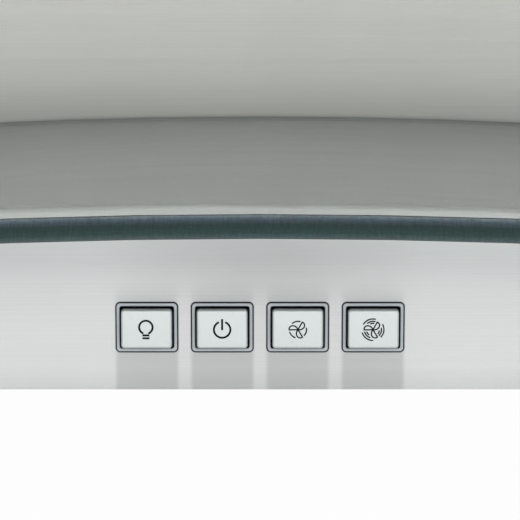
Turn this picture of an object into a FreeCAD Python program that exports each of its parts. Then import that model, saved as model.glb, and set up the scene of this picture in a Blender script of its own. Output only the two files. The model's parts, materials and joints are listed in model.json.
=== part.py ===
import FreeCAD, Part
import math
import os
import Sketcher

# Curved glass range hood for a wall: an arched glass canopy on a folded steel body, with a row of
# push-buttons, two grease filters, two lamps, a double-inlet blower and a telescoping flue.
# Millimetres. The origin is on the wall, at the middle of the body's lower edge.
# +X is to the right of a person who faces the hood, +Y points into the wall, and +Z is up.

Vector = FreeCAD.Vector
Rotation = FreeCAD.Rotation
Placement = FreeCAD.Placement

DIMENSIONS = [
    # the glass canopy
    ("glass_width", 760),
    ("glass_depth", 500),
    ("glass_thickness", 8),
    ("arch_radius", 2210),
    ("crest_height", 57.7),
    ("glass_corner", 25),
    ("edge_round", 3),
    ("notch_gap", 1.5),
    ("notch_corner", 2),
    # the body's folded sheets
    ("side_overhang", 80),
    ("glass_overhang", 36),
    ("sheet", 1),
    ("bend_radius", 1.5),
    ("top_flange", 28),
    ("front_lip", 16),
    ("end_flange", 14),
    ("rear_flange", 12),
    ("gasket", 0.5),
    ("sheet_gap", 0.2),
    ("wall_hole_spacing", 400),
    ("wall_hole_height", 22),
    ("wall_hole_radius", 4),
    # the glass fixings
    ("fixing_inset", 45),
    ("fixing_setback", 39),
    ("fixing_rear", 60),
    ("glass_hole_radius", 5),
    ("fixing_radius", 2.5),
    ("fixing_clearance", 0.5),
    ("pad_radius", 12),
    ("washer_radius", 10),
    ("washer_thickness", 1),
    ("dome_radius", 8),
    ("dome_height", 3),
    ("nut_radius", 4.6),
    ("nut_height", 4),
    # the push-buttons
    ("button_pitch", 25),
    ("button_height", 21.6),
    ("frame_width", 20),
    ("frame_height", 16.3),
    ("frame_ring", 1),
    ("frame_corner", 1.2),
    ("opening_corner", 0.7),
    ("frame_proud", 0.6),
    ("frame_round", 0.4),
    ("frame_gap", 0.4),
    ("flange_grow", 1.2),
    ("flange_thickness", 1.2),
    ("sleeve_wall", 0.9),
    ("sleeve_depth", 7),
    ("cap_gap", 0.6),
    ("cap_proud", 3.4),
    ("cap_round", 0.7),
    ("cap_corner", 1.1),
    ("cap_wall", 1.2),
    ("cap_face", 1.8),
    ("cap_rim", 0.65),
    ("rim_thickness", 1),
    ("stem_radius", 1.3),
    ("stem_length", 6.7),
    ("post_radius", 2.2),
    ("button_travel", 1.5),
    ("switch_size", 6),
    ("switch_depth", 4),
    ("stem_entry", 0.7),
    ("bore_gap", 0.3),
    ("bore_floor", 0.8),
    ("board_width", 96),
    ("board_height", 20),
    ("board_thickness", 1.6),
    ("housing_width", 104),
    ("housing_height", 26),
    ("housing_depth", 21),
    ("housing_wall", 1.5),
    ("ear_length", 10),
    ("ear_thickness", 2),
    ("ear_hole_radius", 1.7),
    ("rest_width", 8),
    ("screw_head", 1.6),
    # the underside
    ("bay_width", 258),
    ("bay_bar_width", 8),
    ("bay_setback", 83),
    ("bay_rear", 51),
    ("rib_offset", 9),
    ("rib_height", 8),
    ("lamp_x", 190),
    ("lamp_setback", 47),
    ("lamp_hole_radius", 26),
    ("bezel_radius", 30),
    ("lens_radius", 24.4),
    ("lens_ledge", 2),
    ("lens_thickness", 2.5),
    ("lamp_height", 22),
    ("lamp_core", 14.64),
    # the grease filters
    ("filter_side_gap", 1.5),
    ("filter_end_gap", 3.5),
    ("filter_base", 1.5),
    ("filter_thickness", 9),
    ("filter_border", 12),
    ("filter_shell", 1.5),
    ("mesh_groove", 3),
    ("mesh_gap", 0.2),
    ("mesh_sheet", 0.8),
    ("pivot_height", 2.2),
    ("tab_gap", 0.15),
    ("tab_length", 6),
    ("tab_width", 20),
    ("tab_spacing", 160),
    ("latch_width", 36),
    ("latch_length", 39),
    ("latch_thickness", 1.6),
    ("latch_reach", 4),
    ("latch_slot_gap", 0.4),
    ("tray_depth", 37),
    ("tray_margin", 6),
    ("grip_half", 12.6),
    ("grip_height", 2),
    ("grip_thickness", 1.8),
    ("grip_inset", 1.2),
    ("spring_strip", 0.4),
    ("spring_reach", 6),
    # the blower
    ("box_side_gap", 10),
    ("box_front_gap", 14),
    ("box_rear", 7),
    ("box_top", 262),
    ("outlet_step", 3),
    ("air_side_margin", 12),
    ("blower_y", 168),
    ("blower_z", 166),
    ("wheel_radius", 75),
    ("wheel_width", 104),
    ("wheel_sheet", 2),
    ("blade_thickness", 1.2),
    ("blade_inset", 0.4),
    ("blade_depth", 12),
    ("scroll_width", 124),
    ("scroll_wall", 2),
    ("scroll_start", 84),
    ("scroll_step", 10),
    ("scroll_gap", 0.5),
    ("inlet_radius", 62),
    ("hub_radius", 10),
    ("hub_length", 24),
    ("shaft_radius", 5),
    ("shaft_clearance", 0.06),
    ("motor_radius", 42),
    ("motor_start", 16),
    ("motor_length", 46),
    ("motor_round", 6),
    ("motor_boss", 12),
    ("motor_wall", 5),
    ("inlet_lip", 5),
    ("bracket_ring", 3),
    ("bracket_arm", 8),
    ("bracket_plate", 2),
    # the duct collar and its damper
    ("collar_y", 116),
    ("collar_radius", 75),
    ("collar_wall", 1.5),
    ("collar_height", 56),
    ("collar_flange", 9),
    ("seat_width", 4),
    ("seat_gap", 0.8),
    ("damper_height", 18),
    ("damper_gap", 1.2),
    ("pin_radius", 1.5),
    ("pin_clearance", 0.1),
    ("knuckle_radius", 2.6),
    ("knuckle_gap", 1.6),
    ("flap_thickness", 1),
    ("flap_offset", 3.2),
    # the terminal box
    ("terminal_inset", 8),
    ("terminal_width", 36),
    ("terminal_depth", 54),
    ("terminal_height", 26),
    ("terminal_wall", 2),
    ("terminal_gap", 0.2),
    ("gland_bore", 3.5),
    ("gland_body", 6),
    ("gland_nut", 9),
    ("gland_height", 17),
    ("gland_hex", 7),
    ("gland_taper", 3),
    ("gland_inset", 16),
    # the flues
    ("flue_width", 300),
    ("flue_depth", 276),
    ("flue_return", 11),
    ("flue_slack", 0.5),
    ("lower_flue_top", 450),
    ("upper_flue_length", 400),
    ("flue_overlap", 100),
    ("vent_drop", 120),
    ("vent_length", 60),
    ("vent_height", 5),
    ("vent_pitch", 12),
    ("cleat_rise", 19),
    ("cleat_leg", 12),
    ("cleat_width", 30),
    ("strap_height", 25),
    ("plate", 1.5),
    ("strap_ear", 34),
    ("strap_margin", 4),
    ("strap_screw_inset", 24),
    ("strap_screw_radius", 2),
    ("strap_screw_length", 8),
    ("strap_drop", 35),
    ("strap_hole_spacing", 200),
    ("strap_hole_radius", 3.2),
    # the wall bracket
    ("bracket_margin", 15),
    ("bracket_base", 190),
    ("bracket_hole_spacing", 220),
    ("bracket_hole_radius", 3.2),
    ("bracket_hole_rise", 14),
    ("bracket_height", 30),
    ("hook_rise", 12),
    ("hook_room", 1.8),
    ("hook_gap", 0.2),
    ("rail_leg", 16),
    ("rail_inset", 5),
]

BUTTON_NAMES = ["light", "power", "low", "high"]
SIDES = {"left": -1, "right": 1}
BLADES = 28
MESH_RIDGES = 16
KNUCKLES = 7
LAMP_FINS = 5
MOTOR_ARMS = 3
VENT_SLOTS = 5

doc = FreeCAD.newDocument("range_hood")
sheet_object = doc.addObject("Spreadsheet::Sheet", "Dims")
parts = []


class Size:
    """A length, with the formula that ties it to the sheet."""

    def __init__(self, value, text):
        self.value = value
        self.text = text

    def join(self, other, sign, value):
        return Size(value, "(%s %s %s)" % (self.text, sign, other.text))

    def __add__(self, other):
        other = size(other)
        return self.join(other, "+", self.value + other.value)

    def __sub__(self, other):
        other = size(other)
        return self.join(other, "-", self.value - other.value)

    def __mul__(self, other):
        other = size(other)
        return self.join(other, "*", self.value * other.value)

    def __truediv__(self, other):
        other = size(other)
        return self.join(other, "/", self.value / other.value)

    def __neg__(self):
        return size(0) - self

    def __radd__(self, other):
        return size(other) + self

    def __rsub__(self, other):
        return size(other) - self

    def __rmul__(self, other):
        return size(other) * self


def size(number):
    """A plain number as a Size."""
    if isinstance(number, Size):
        return number
    return Size(float(number), "%.6f" % number)


def root(square):
    """The square root of a Size."""
    return Size(math.sqrt(square.value), "sqrt(%s)" % square.text)


class Sheet:
    """The driving dimensions, read from the spreadsheet by their aliases."""

    def __init__(self, rows):
        for number, (alias, value) in enumerate(rows, 1):
            sheet_object.set("A%d" % number, alias)
            sheet_object.set("B%d" % number, "%g" % value)
            sheet_object.setAlias("B%d" % number, alias)
        doc.recompute()

    def __getattr__(self, alias):
        return Size(float(getattr(sheet_object, alias)), "Dims." + alias)


D = Sheet(DIMENSIONS)


# ---- drawing ----


def origin_plane(body, role):
    """One of the body's own origin planes."""
    for feature in body.Origin.OriginFeatures:
        if feature.Role == role:
            return feature
    raise RuntimeError("no plane " + role)


def new_body(label, node=True):
    """An empty body; a node's body is written to a file of its own."""
    body = doc.addObject("PartDesign::Body", label)
    body.Label = label
    if node:
        parts.append(body)
    return body


def new_sketch(body, role, offset):
    """A sketch on an origin plane of the body, moved along the plane's normal."""
    sketch = body.newObject("Sketcher::SketchObject", body.Name + "_sketch")
    sketch.AttachmentSupport = [(origin_plane(body, role), "")]
    sketch.MapMode = "FlatFace"
    sketch.AttachmentOffset = Placement(Vector(0, 0, offset.value), Rotation())
    sketch.setExpression("AttachmentOffset.Base.z", offset.text)
    return sketch


def hold(sketch, kind, length, *where):
    """A dimension of the sketch, tied to its size's formula."""
    index = sketch.addConstraint(Sketcher.Constraint(kind, *where, length.value))
    sketch.setExpression("Constraints[%d]" % index, length.text)


def fix_point(sketch, curve, end, x, y):
    """Holds one point of a curve at x, y from the sketch's origin."""
    if abs(x.value) < 1e-9:
        sketch.addConstraint(Sketcher.Constraint("PointOnObject", curve, end, -2))
    else:
        hold(sketch, "DistanceX", x, -1, 1, curve, end)
    if abs(y.value) < 1e-9:
        sketch.addConstraint(Sketcher.Constraint("PointOnObject", curve, end, -1))
    else:
        hold(sketch, "DistanceY", y, -1, 1, curve, end)


def arc_between(start, end, radius, turn):
    """The shorter arc from start to end; turn is 1 for counterclockwise and -1 for clockwise."""
    half = (end - start) * 0.5
    reach = math.sqrt(max(radius**2 - half.Length**2, 0))
    across = Vector(-half.y, half.x, 0).normalize()
    centre = start + half + across * (reach * turn)
    first, last = (start, end) if turn > 0 else (end, start)
    angles = [math.atan2(p.y - centre.y, p.x - centre.x) for p in (first, last)]
    return Part.ArcOfCircle(Part.Circle(centre, Vector(0, 0, 1), radius), *angles)


def outline(sketch, corners, arcs=None):
    """A closed outline; arcs gives some sides, by number, a radius and a turn."""
    arcs = arcs or {}
    corners = [(size(x), size(y)) for x, y in corners]
    points = [Vector(x.value, y.value, 0) for x, y in corners]
    first = sketch.GeometryCount
    count = len(points)
    ends = []
    curves = []
    for side in range(count):
        start, end = points[side], points[(side + 1) % count]
        if side in arcs:
            radius, turn = arcs[side]
            curves.append(arc_between(start, end, size(radius).value, turn))
            ends.append((1, 2) if turn > 0 else (2, 1))
        else:
            curves.append(Part.LineSegment(start, end))
            ends.append((1, 2))
    sketch.addGeometry(curves, False)
    joins = []
    for side in range(count):
        after = (side + 1) % count
        here = (first + side, ends[side][1])
        there = (first + after, ends[after][0])
        joins.append(Sketcher.Constraint("Coincident", *here, *there))
    sketch.addConstraint(joins)
    for side, (x, y) in enumerate(corners):
        fix_point(sketch, first + side, ends[side][0], x, y)
        if side in arcs:
            hold(sketch, "Radius", size(arcs[side][0]), first + side)


def rectangle(sketch, left, right, low, high):
    outline(sketch, [(left, low), (right, low), (right, high), (left, high)])


def circle(sketch, x, y, radius):
    x, y, radius = size(x), size(y), size(radius)
    index = sketch.addGeometry(
        Part.Circle(Vector(x.value, y.value, 0), Vector(0, 0, 1), radius.value), False
    )
    fix_point(sketch, index, 3, x, y)
    hold(sketch, "Radius", radius, index)


def block(left, right, low, high):
    """Draws a rectangle."""
    return lambda sketch: rectangle(sketch, left, right, low, high)


def disc(x, y, radius):
    """Draws a circle."""
    return lambda sketch: circle(sketch, x, y, radius)


def ring(outer, inner):
    """Draws two circles round the sketch's origin."""

    def draw(sketch):
        circle(sketch, 0, 0, outer)
        circle(sketch, 0, 0, inner)

    return draw


def shape(corners, arcs=None):
    """Draws a closed outline."""
    return lambda sketch: outline(sketch, corners, arcs)


def in_order(*values):
    """The lengths from the least to the greatest."""
    return sorted([size(value) for value in values], key=lambda value: value.value)


# ---- features ----


def finish(body, feature):
    doc.recompute()
    if "Invalid" in feature.State or feature.Shape.isNull():
        raise RuntimeError("%s failed in %s" % (feature.Name, body.Label))
    return feature


def pad(body, role, start, end, draw):
    """Adds the drawn outline between two world coordinates along the plane's axis."""
    start, end = size(start), size(end)
    sketch = new_sketch(body, role, -end if role == "XZ_Plane" else start)
    draw(sketch)
    feature = body.newObject("PartDesign::Pad", body.Name + "_pad")
    feature.Profile = sketch
    feature.Length = end.value - start.value
    feature.setExpression("Length", (end - start).text)
    return finish(body, feature)


def pocket(body, role, start, end, draw):
    """Cuts the drawn outline between two world coordinates along the plane's axis."""
    start, end = size(start), size(end)
    before = body.Shape.Volume
    sketch = new_sketch(body, role, -start if role == "XZ_Plane" else end)
    draw(sketch)
    feature = body.newObject("PartDesign::Pocket", body.Name + "_pocket")
    feature.Profile = sketch
    feature.Length = end.value - start.value
    feature.setExpression("Length", (end - start).text)
    finish(body, feature)
    if feature.Shape.Volume >= before:
        raise RuntimeError("a pocket cut nothing in " + body.Label)
    return feature


def revolve(body, role, axis, draw):
    """Turns an outline all the way round one of its sketch's axes."""
    sketch = new_sketch(body, role, size(0))
    draw(sketch)
    feature = body.newObject("PartDesign::Revolution", body.Name + "_turn")
    feature.Profile = sketch
    feature.ReferenceAxis = (sketch, [axis])
    feature.Angle = 360
    return finish(body, feature)


def polar(body, feature, count):
    """Repeats a feature round its own sketch's normal through the origin."""
    pattern = body.newObject("PartDesign::PolarPattern", body.Name + "_polar")
    pattern.Originals = [feature]
    pattern.Axis = (feature.Profile[0], ["N_Axis"])
    pattern.Angle = 360
    pattern.Occurrences = count
    body.Tip = pattern
    return finish(body, pattern)


def row(body, feature, axis, length, count):
    """Repeats a feature along one of its own sketch's axes."""
    pattern = body.newObject("PartDesign::LinearPattern", body.Name + "_row")
    pattern.Originals = [feature]
    pattern.Direction = (feature.Profile[0], [axis])
    pattern.Length = length.value
    pattern.setExpression("Length", length.text)
    pattern.Occurrences = count
    body.Tip = pattern
    return finish(body, pattern)


def round_edges(body, radius, choose):
    """Rounds the edges of the body's last feature that choose accepts."""
    base = body.Tip
    names = []
    for number, edge in enumerate(base.Shape.Edges, 1):
        if choose(edge):
            names.append("Edge%d" % number)
    if not names:
        raise RuntimeError("no edge to round in " + body.Label)
    feature = body.newObject("PartDesign::Fillet", body.Name + "_round")
    feature.Base = (base, names)
    feature.Radius = size(radius).value
    feature.setExpression("Radius", size(radius).text)
    return finish(body, feature)


def move(body, x=0, y=0, z=0):
    """Puts a body that is drawn round its own origin in its place."""
    place = [size(value) for value in (x, y, z)]
    body.Placement = Placement(Vector(*[value.value for value in place]), Rotation())
    for letter, value in zip("xyz", place):
        body.setExpression("Placement.Base." + letter, value.text)


def group(label, master, places):
    """A node of separate, identical solids: the master's shape at each place."""
    doc.recompute()
    feature = doc.addObject("Part::Feature", label)
    feature.Label = label
    solids = []
    for place in places:
        solid = master.Shape.copy()
        solid.Placement = place
        solids.append(solid)
    feature.Shape = Part.makeCompound(solids)
    parts.append(feature)
    return feature


def along(edge, axis):
    """True for a straight edge parallel to the axis."""
    if not isinstance(edge.Curve, Part.Line):
        return False
    return abs(abs(edge.Curve.Direction.dot(axis)) - 1) < 1e-6


def near(value, target):
    return abs(value - target) < 0.01


X_AXIS = Vector(1, 0, 0)
Y_AXIS = Vector(0, 1, 0)
Z_AXIS = Vector(0, 0, 1)


# ---- shared places ----

panel_front = -(D.glass_depth - D.glass_overhang)
panel_back = panel_front + D.sheet
body_half = D.glass_width / 2 - D.side_overhang
box_half = D.flue_width / 2 - D.box_side_gap
box_front = -(D.flue_depth - D.box_front_gap)
deck_drop = D.gasket
deck_under = deck_drop + D.sheet
panel_drop = deck_under + D.sheet_gap
pan_top = D.sheet * 2
opening_width = D.frame_width - D.frame_ring * 2
opening_height = D.frame_height - D.frame_ring * 2
cap_width = opening_width - D.cap_gap * 2
cap_height = opening_height - D.cap_gap * 2
sleeve_end = panel_front + D.sleeve_depth
rim_front = sleeve_end + D.cap_gap
rim_back = rim_front + D.rim_thickness
stem_end = rim_back + D.stem_length
switch_front = stem_end - D.stem_entry
board_front = switch_front + D.switch_depth
bay_front = panel_front + D.bay_setback
lamp_y = panel_front + D.lamp_setback
fixing_x = body_half - D.fixing_inset
fixing_rows = [panel_front + D.fixing_setback, -D.fixing_rear]
button_places = [D.button_pitch * (number - 1.5) for number in range(4)]
lower_inner = D.flue_width / 2 - D.sheet
upper_half = lower_inner - D.flue_slack * 2
upper_front = -(D.flue_depth - D.sheet - D.flue_slack * 2)
upper_back = -(D.sheet + D.flue_slack)
upper_base = D.lower_flue_top - D.flue_overlap
upper_top = upper_base + D.upper_flue_length
strap_clear = upper_back - D.sheet - 1
strap_screw_y = strap_clear - D.strap_screw_inset
strap_low = upper_top - D.strap_drop
strap_middle = strap_low + D.strap_height / 2
blower_y = -D.blower_y
collar_y = -D.collar_y


def arch_radius(drop):
    return D.arch_radius - drop


def arch(drop, x):
    """Height of the arch that lies drop below the underside of the glass, at x."""
    radius = arch_radius(drop)
    x = size(x)
    return D.crest_height - D.arch_radius + root(radius * radius - x * x)


def arch_place(drop, x, y):
    """A place on that arch, with its own Z square to the arch."""
    radius = arch_radius(drop).value
    angle = math.degrees(math.asin(x / radius))
    height = arch(drop, x).value
    return Placement(Vector(x, y, height), Rotation(Y_AXIS, angle))


def block_under_arch(sketch, left, right, drop, low):
    """An outline with a level base and the arch as its top."""
    left, right = size(left), size(right)
    corners = [(left, low), (right, low), (right, arch(drop, right)), (left, arch(drop, left))]
    outline(sketch, corners, {2: (arch_radius(drop), 1)})


def arched_block(left, right, drop, low):
    """Draws a block with the arch as its top."""
    return lambda sketch: block_under_arch(sketch, left, right, drop, low)


def arched_sheet(half, over, under):
    """Draws a strip between two arches."""
    corners = [(-half, arch(under, half)), (half, arch(under, half))]
    corners += [(half, arch(over, half)), (-half, arch(over, half))]
    return shape(corners, {0: (arch_radius(under), -1), 2: (arch_radius(over), 1)})


# ---- the glass and its fixings ----


def fixing_places(drop):
    places = []
    for side in SIDES.values():
        for y in fixing_rows:
            places.append(arch_place(drop, side * fixing_x.value, y.value))
    return places


def drill_square_to_arch(label, blank, radius, low, high):
    """The blank with a hole square to the arch at each fixing."""
    bits = []
    for number, place in enumerate(fixing_places(size(0))):
        bit = doc.addObject("Part::Cylinder", "%s_bit_%d" % (label, number))
        bit.Radius = radius.value
        bit.setExpression("Radius", radius.text)
        bit.Height = (high - low).value
        bit.setExpression("Height", (high - low).text)
        bit.Placement = place.multiply(Placement(Vector(0, 0, low.value), Rotation()))
        bits.append(bit)
    joined = doc.addObject("Part::MultiFuse", label + "_bits")
    joined.Shapes = bits
    drilled = doc.addObject("Part::Cut", label)
    drilled.Base = blank
    drilled.Tool = joined
    drilled.Label = label
    parts.append(drilled)
    doc.recompute()
    return drilled


def make_glass():
    """Arched plate with a notch for the flue and a round edge on its front and sides."""
    body = new_body("glass_blank", node=False)
    half = D.glass_width / 2
    pad(body, "XZ_Plane", -D.glass_depth, 0, arched_sheet(half, -D.glass_thickness, size(0)))
    notch_half = D.flue_width / 2 + D.notch_gap
    notch_front = -(D.flue_depth + D.notch_gap)
    above = D.crest_height * 2
    pocket(body, "XY_Plane", 0, above, block(-notch_half, notch_half, notch_front, 1))

    def front_corner(edge):
        middle = edge.CenterOfMass
        return along(edge, Z_AXIS) and near(middle.y, -D.glass_depth.value)

    def notch_corner(edge):
        middle = edge.CenterOfMass
        return along(edge, Z_AXIS) and near(middle.y, notch_front.value)

    def outer_rim(edge):
        middle = edge.CenterOfMass
        if along(edge, Z_AXIS) or near(middle.y, 0):
            return False
        on_side = abs(middle.x) > D.glass_width.value / 2 - D.glass_corner.value
        return on_side or middle.y < -D.glass_depth.value + D.glass_corner.value

    round_edges(body, D.notch_corner, notch_corner)
    round_edges(body, D.glass_corner, front_corner)
    round_edges(body, D.edge_round, outer_rim)
    drill_square_to_arch("glass_canopy", body, D.glass_hole_radius, size(-2), D.glass_thickness + 2)


def make_glass_fixings():
    """At each fixing: a pad under the glass, a washer above it, and a domed screw with its nut."""
    clearance = D.fixing_radius + D.fixing_clearance
    slack = 0.1
    places = fixing_places(size(0))
    cushion = new_body("pad_ring", node=False)
    pad(cushion, "XY_Plane", -deck_drop + slack, -slack, ring(D.pad_radius, clearance))
    group("glass_pads", cushion, places)

    washer = new_body("washer", node=False)
    washer_base = D.glass_thickness + slack
    washer_top = washer_base + D.washer_thickness
    pad(washer, "XY_Plane", washer_base, washer_top, ring(D.washer_radius, clearance))
    group("glass_washers", washer, places)

    screw = new_body("glass_screw", node=False)
    shank_end = -(deck_under + D.nut_height + 1)
    dome = D.dome_radius
    dome_arc = (dome * dome + D.dome_height * D.dome_height) / (D.dome_height * 2)
    corners = [(0, shank_end), (D.fixing_radius, shank_end), (D.fixing_radius, washer_top)]
    corners += [(dome, washer_top), (0, washer_top + D.dome_height)]
    revolve(screw, "XZ_Plane", "V_Axis", shape(corners, {3: (dome_arc, 1)}))
    group("glass_screws", screw, places)

    nut = new_body("nut", node=False)
    nut_top = -(deck_under + slack)

    far = D.nut_radius
    flat = far * math.sqrt(0.75)
    hexagon = [(far, 0), (far / 2, flat), (-far / 2, flat)]
    hexagon += [(-far, 0), (-far / 2, -flat), (far / 2, -flat)]

    def nut_section(s):
        outline(s, hexagon)
        circle(s, 0, 0, D.fixing_radius)

    pad(nut, "XY_Plane", nut_top - D.nut_height, nut_top, nut_section)
    group("glass_nuts", nut, places)


# ---- the body's sheets ----


def fold_channel(body, face, flange_end, lip_end, toward, bends=None):
    """A face with a flange under the arch and a lip at its base, both folded the same way."""
    inner_face = face + D.sheet * toward
    low, high = in_order(face, flange_end)
    pad(body, "XZ_Plane", low, high, arched_block(-body_half, body_half, panel_drop, 0))
    low, high = in_order(inner_face, flange_end + toward)
    wide = body_half + 1

    hollow = arched_block(-wide, wide, panel_drop + D.sheet, D.sheet)
    pocket(body, "XZ_Plane", low, high, hollow)
    if bends:
        bends(body)

    def side_trim(s):
        for side in SIDES.values():
            edges = in_order(wide * side, (body_half - D.sheet - D.sheet_gap) * side)
            rectangle(s, *edges, -1, D.crest_height + 1)

    pocket(body, "XZ_Plane", low, high, side_trim)
    if abs(lip_end.value - flange_end.value) > 0.01:
        low, high = in_order(lip_end, flange_end + toward)
        pocket(body, "XZ_Plane", low, high, block(-wide, wide, -1, D.sheet + 1))


def make_front_panel():
    """The panel's face, lip and flange, with an opening for each button frame."""

    def outer_bend(edge):
        box = edge.BoundBox
        flat = near(box.YMin, panel_front.value) and near(box.YMax, panel_front.value)
        return flat and box.XLength > (body_half * 2).value - 2

    def inner_bend(edge):
        box = edge.BoundBox
        flat = near(box.YMin, panel_back.value) and near(box.YMax, panel_back.value)
        long_enough = box.XLength > (body_half * 2).value - 4
        fold_top = arch(panel_drop + D.sheet, 0).value
        at_fold = near(box.ZMin, D.sheet.value) or near(box.ZMax, fold_top)
        return flat and long_enough and at_fold

    def bends(body):
        round_edges(body, D.bend_radius, outer_bend)
        round_edges(body, D.bend_radius - D.sheet, inner_bend)

    def openings(s):
        for x in button_places:
            around_button(s, x, D.frame_width + D.frame_gap * 2, D.frame_height + D.frame_gap * 2)

    def opening_corner(edge):
        inside = abs(edge.CenterOfMass.x) < (button_places[-1] + D.frame_width).value
        return along(edge, Y_AXIS) and near(edge.Length, D.sheet.value) and inside

    body = new_body("front_panel")
    fold_channel(body, panel_front, panel_front + D.top_flange, panel_front + D.front_lip, 1, bends)
    pocket(body, "XZ_Plane", panel_front - 1, panel_back + 1, openings)
    round_edges(body, D.frame_corner + D.frame_gap, opening_corner)


def make_end_panel(name, side):
    """A web between the front and rear panels, with a flange and a lip folded inwards."""
    body = new_body("end_panel_" + name)
    front = panel_back + D.sheet_gap
    rear = -(D.sheet + D.sheet_gap)
    inner = body_half - D.end_flange
    web = body_half - D.sheet

    solid = in_order(inner * side, body_half * side)
    hollow = in_order((inner - 1) * side, web * side)
    pad(body, "XZ_Plane", front, rear, arched_block(*solid, panel_drop, 0))
    room = arched_block(*hollow, panel_drop + D.sheet, D.sheet)
    pocket(body, "XZ_Plane", front - 1, rear + 1, room)
    clear = D.crest_height + 1
    front_end = panel_front + D.top_flange + D.sheet_gap
    pocket(body, "XZ_Plane", front - 1, front_end, block(*hollow, -1, clear))
    rear_end = -(D.rear_flange + D.sheet_gap)
    pocket(body, "XZ_Plane", rear_end, rear + 1, block(*hollow, -1, clear))

    def bend(edge):
        middle = edge.CenterOfMass
        return along(edge, Y_AXIS) and near(abs(middle.x), body_half.value) and near(middle.z, 0)

    round_edges(body, D.bend_radius, bend)


def make_rear_panel():
    """The sheet that lies on the wall, with its screw holes."""
    body = new_body("rear_panel")
    fold_channel(body, size(0), -D.rear_flange, -D.rear_flange, -1)

    def holes(s):
        for side in SIDES.values():
            circle(s, D.wall_hole_spacing / 2 * side, D.wall_hole_height, D.wall_hole_radius)

    pocket(body, "XZ_Plane", -(D.sheet + 1), 1, holes)


def bay_edges(side):
    """Left and right edge of one filter bay."""
    near_edge = D.bay_bar_width / 2
    return in_order(near_edge * side, (near_edge + D.bay_width) * side)


def make_underside_pan():
    """The sheet that closes the body from below, with two filter bays inside a stiffening rib."""
    body = new_body("underside_pan")
    half = body_half - D.sheet - D.sheet_gap
    front = panel_back + D.bend_radius
    rear = -(D.sheet + D.sheet_gap)
    pad(body, "XY_Plane", D.sheet, pan_top, block(-half, half, front, rear))
    rib_half = D.bay_bar_width / 2 + D.bay_width + D.rib_offset
    rib_front = bay_front - D.rib_offset
    rib_rear = -(D.bay_rear - D.rib_offset)

    def rib(s):
        rectangle(s, -rib_half, rib_half, rib_front, rib_rear)
        inner = rib_half - D.sheet
        rectangle(s, -inner, inner, rib_front + D.sheet, rib_rear - D.sheet)

    pad(body, "XY_Plane", pan_top - 0.1, pan_top + D.rib_height, rib)

    def bays(s):
        for side in SIDES.values():
            rectangle(s, *bay_edges(side), bay_front, -D.bay_rear)

    pocket(body, "XY_Plane", 0, pan_top + 1, bays)

    def lamp_holes(s):
        for side in SIDES.values():
            circle(s, D.lamp_x * side, lamp_y, D.lamp_hole_radius)

    pocket(body, "XY_Plane", 0, pan_top + 1, lamp_holes)


def make_bay_bar():
    """A hat-shaped bar that stiffens the strip between the bays."""
    body = new_body("bay_bar")
    half = D.bay_bar_width / 2 - 1
    inner = half - D.sheet
    top = pan_top + D.rib_height
    pad(body, "XY_Plane", pan_top, top, block(-half, half, bay_front, -D.bay_rear))
    hollow = block(-inner, inner, bay_front - 1, -(D.bay_rear - 1))
    pocket(body, "XY_Plane", pan_top, top - D.sheet, hollow)


def make_top_deck():
    """The arched sheet under the glass, with the opening into the blower box."""
    body = new_body("deck_blank", node=False)
    pad(body, "XZ_Plane", panel_front, -D.sheet_gap, arched_sheet(body_half, deck_drop, deck_under))
    side = box_half - D.air_side_margin
    opening_front = box_front + D.air_side_margin
    opening_rear = -(D.box_rear + D.air_side_margin)
    above = D.crest_height * 2
    pocket(body, "XY_Plane", 0, above, block(-side, side, opening_front, opening_rear))
    hole = D.fixing_radius + D.fixing_clearance
    drill_square_to_arch("top_deck", body, hole, -(deck_under + 2), -(deck_drop - 1))


# ---- the push-buttons ----


def around_button(sketch, x, width, height):
    """A rectangle round the middle of the button at x."""
    z = D.button_height
    rectangle(sketch, x - width / 2, x + width / 2, z - height / 2, z + height / 2)


def button_block(x, width, height):
    """Draws a rectangle round the middle of the button at x."""
    return lambda sketch: around_button(sketch, x, width, height)


def make_button_frame(number):
    """A rounded ring that stands through the panel, with a flange behind the panel and a sleeve."""
    body = new_body("button_frame_%d" % (number + 1))
    x = button_places[number]
    proud = panel_front - D.frame_proud
    flange_front = panel_back
    flange_back = flange_front + D.flange_thickness
    ring_block = button_block(x, D.frame_width, D.frame_height)
    pad(body, "XZ_Plane", proud, flange_back, ring_block)
    round_edges(body, D.frame_corner, lambda edge: along(edge, Y_AXIS))
    beyond = (D.frame_gap + D.flange_grow) * 2
    flange = button_block(x, D.frame_width + beyond, D.frame_height + beyond)
    pad(body, "XZ_Plane", flange_front, flange_back, flange)
    walls = D.sleeve_wall * 2
    sleeve = button_block(x, opening_width + walls, opening_height + walls)
    pad(body, "XZ_Plane", flange_back - 0.1, sleeve_end, sleeve)
    opening = button_block(x, opening_width, opening_height)
    pocket(body, "XZ_Plane", proud - 1, sleeve_end + 1, opening)

    def opening_corner(edge):
        at_corner = near(abs(edge.CenterOfMass.x - x.value), (opening_width / 2).value)
        return along(edge, Y_AXIS) and at_corner

    round_edges(body, D.opening_corner, opening_corner)
    round_edges(body, D.frame_round, lambda edge: near(edge.BoundBox.YMax, proud.value))


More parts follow.
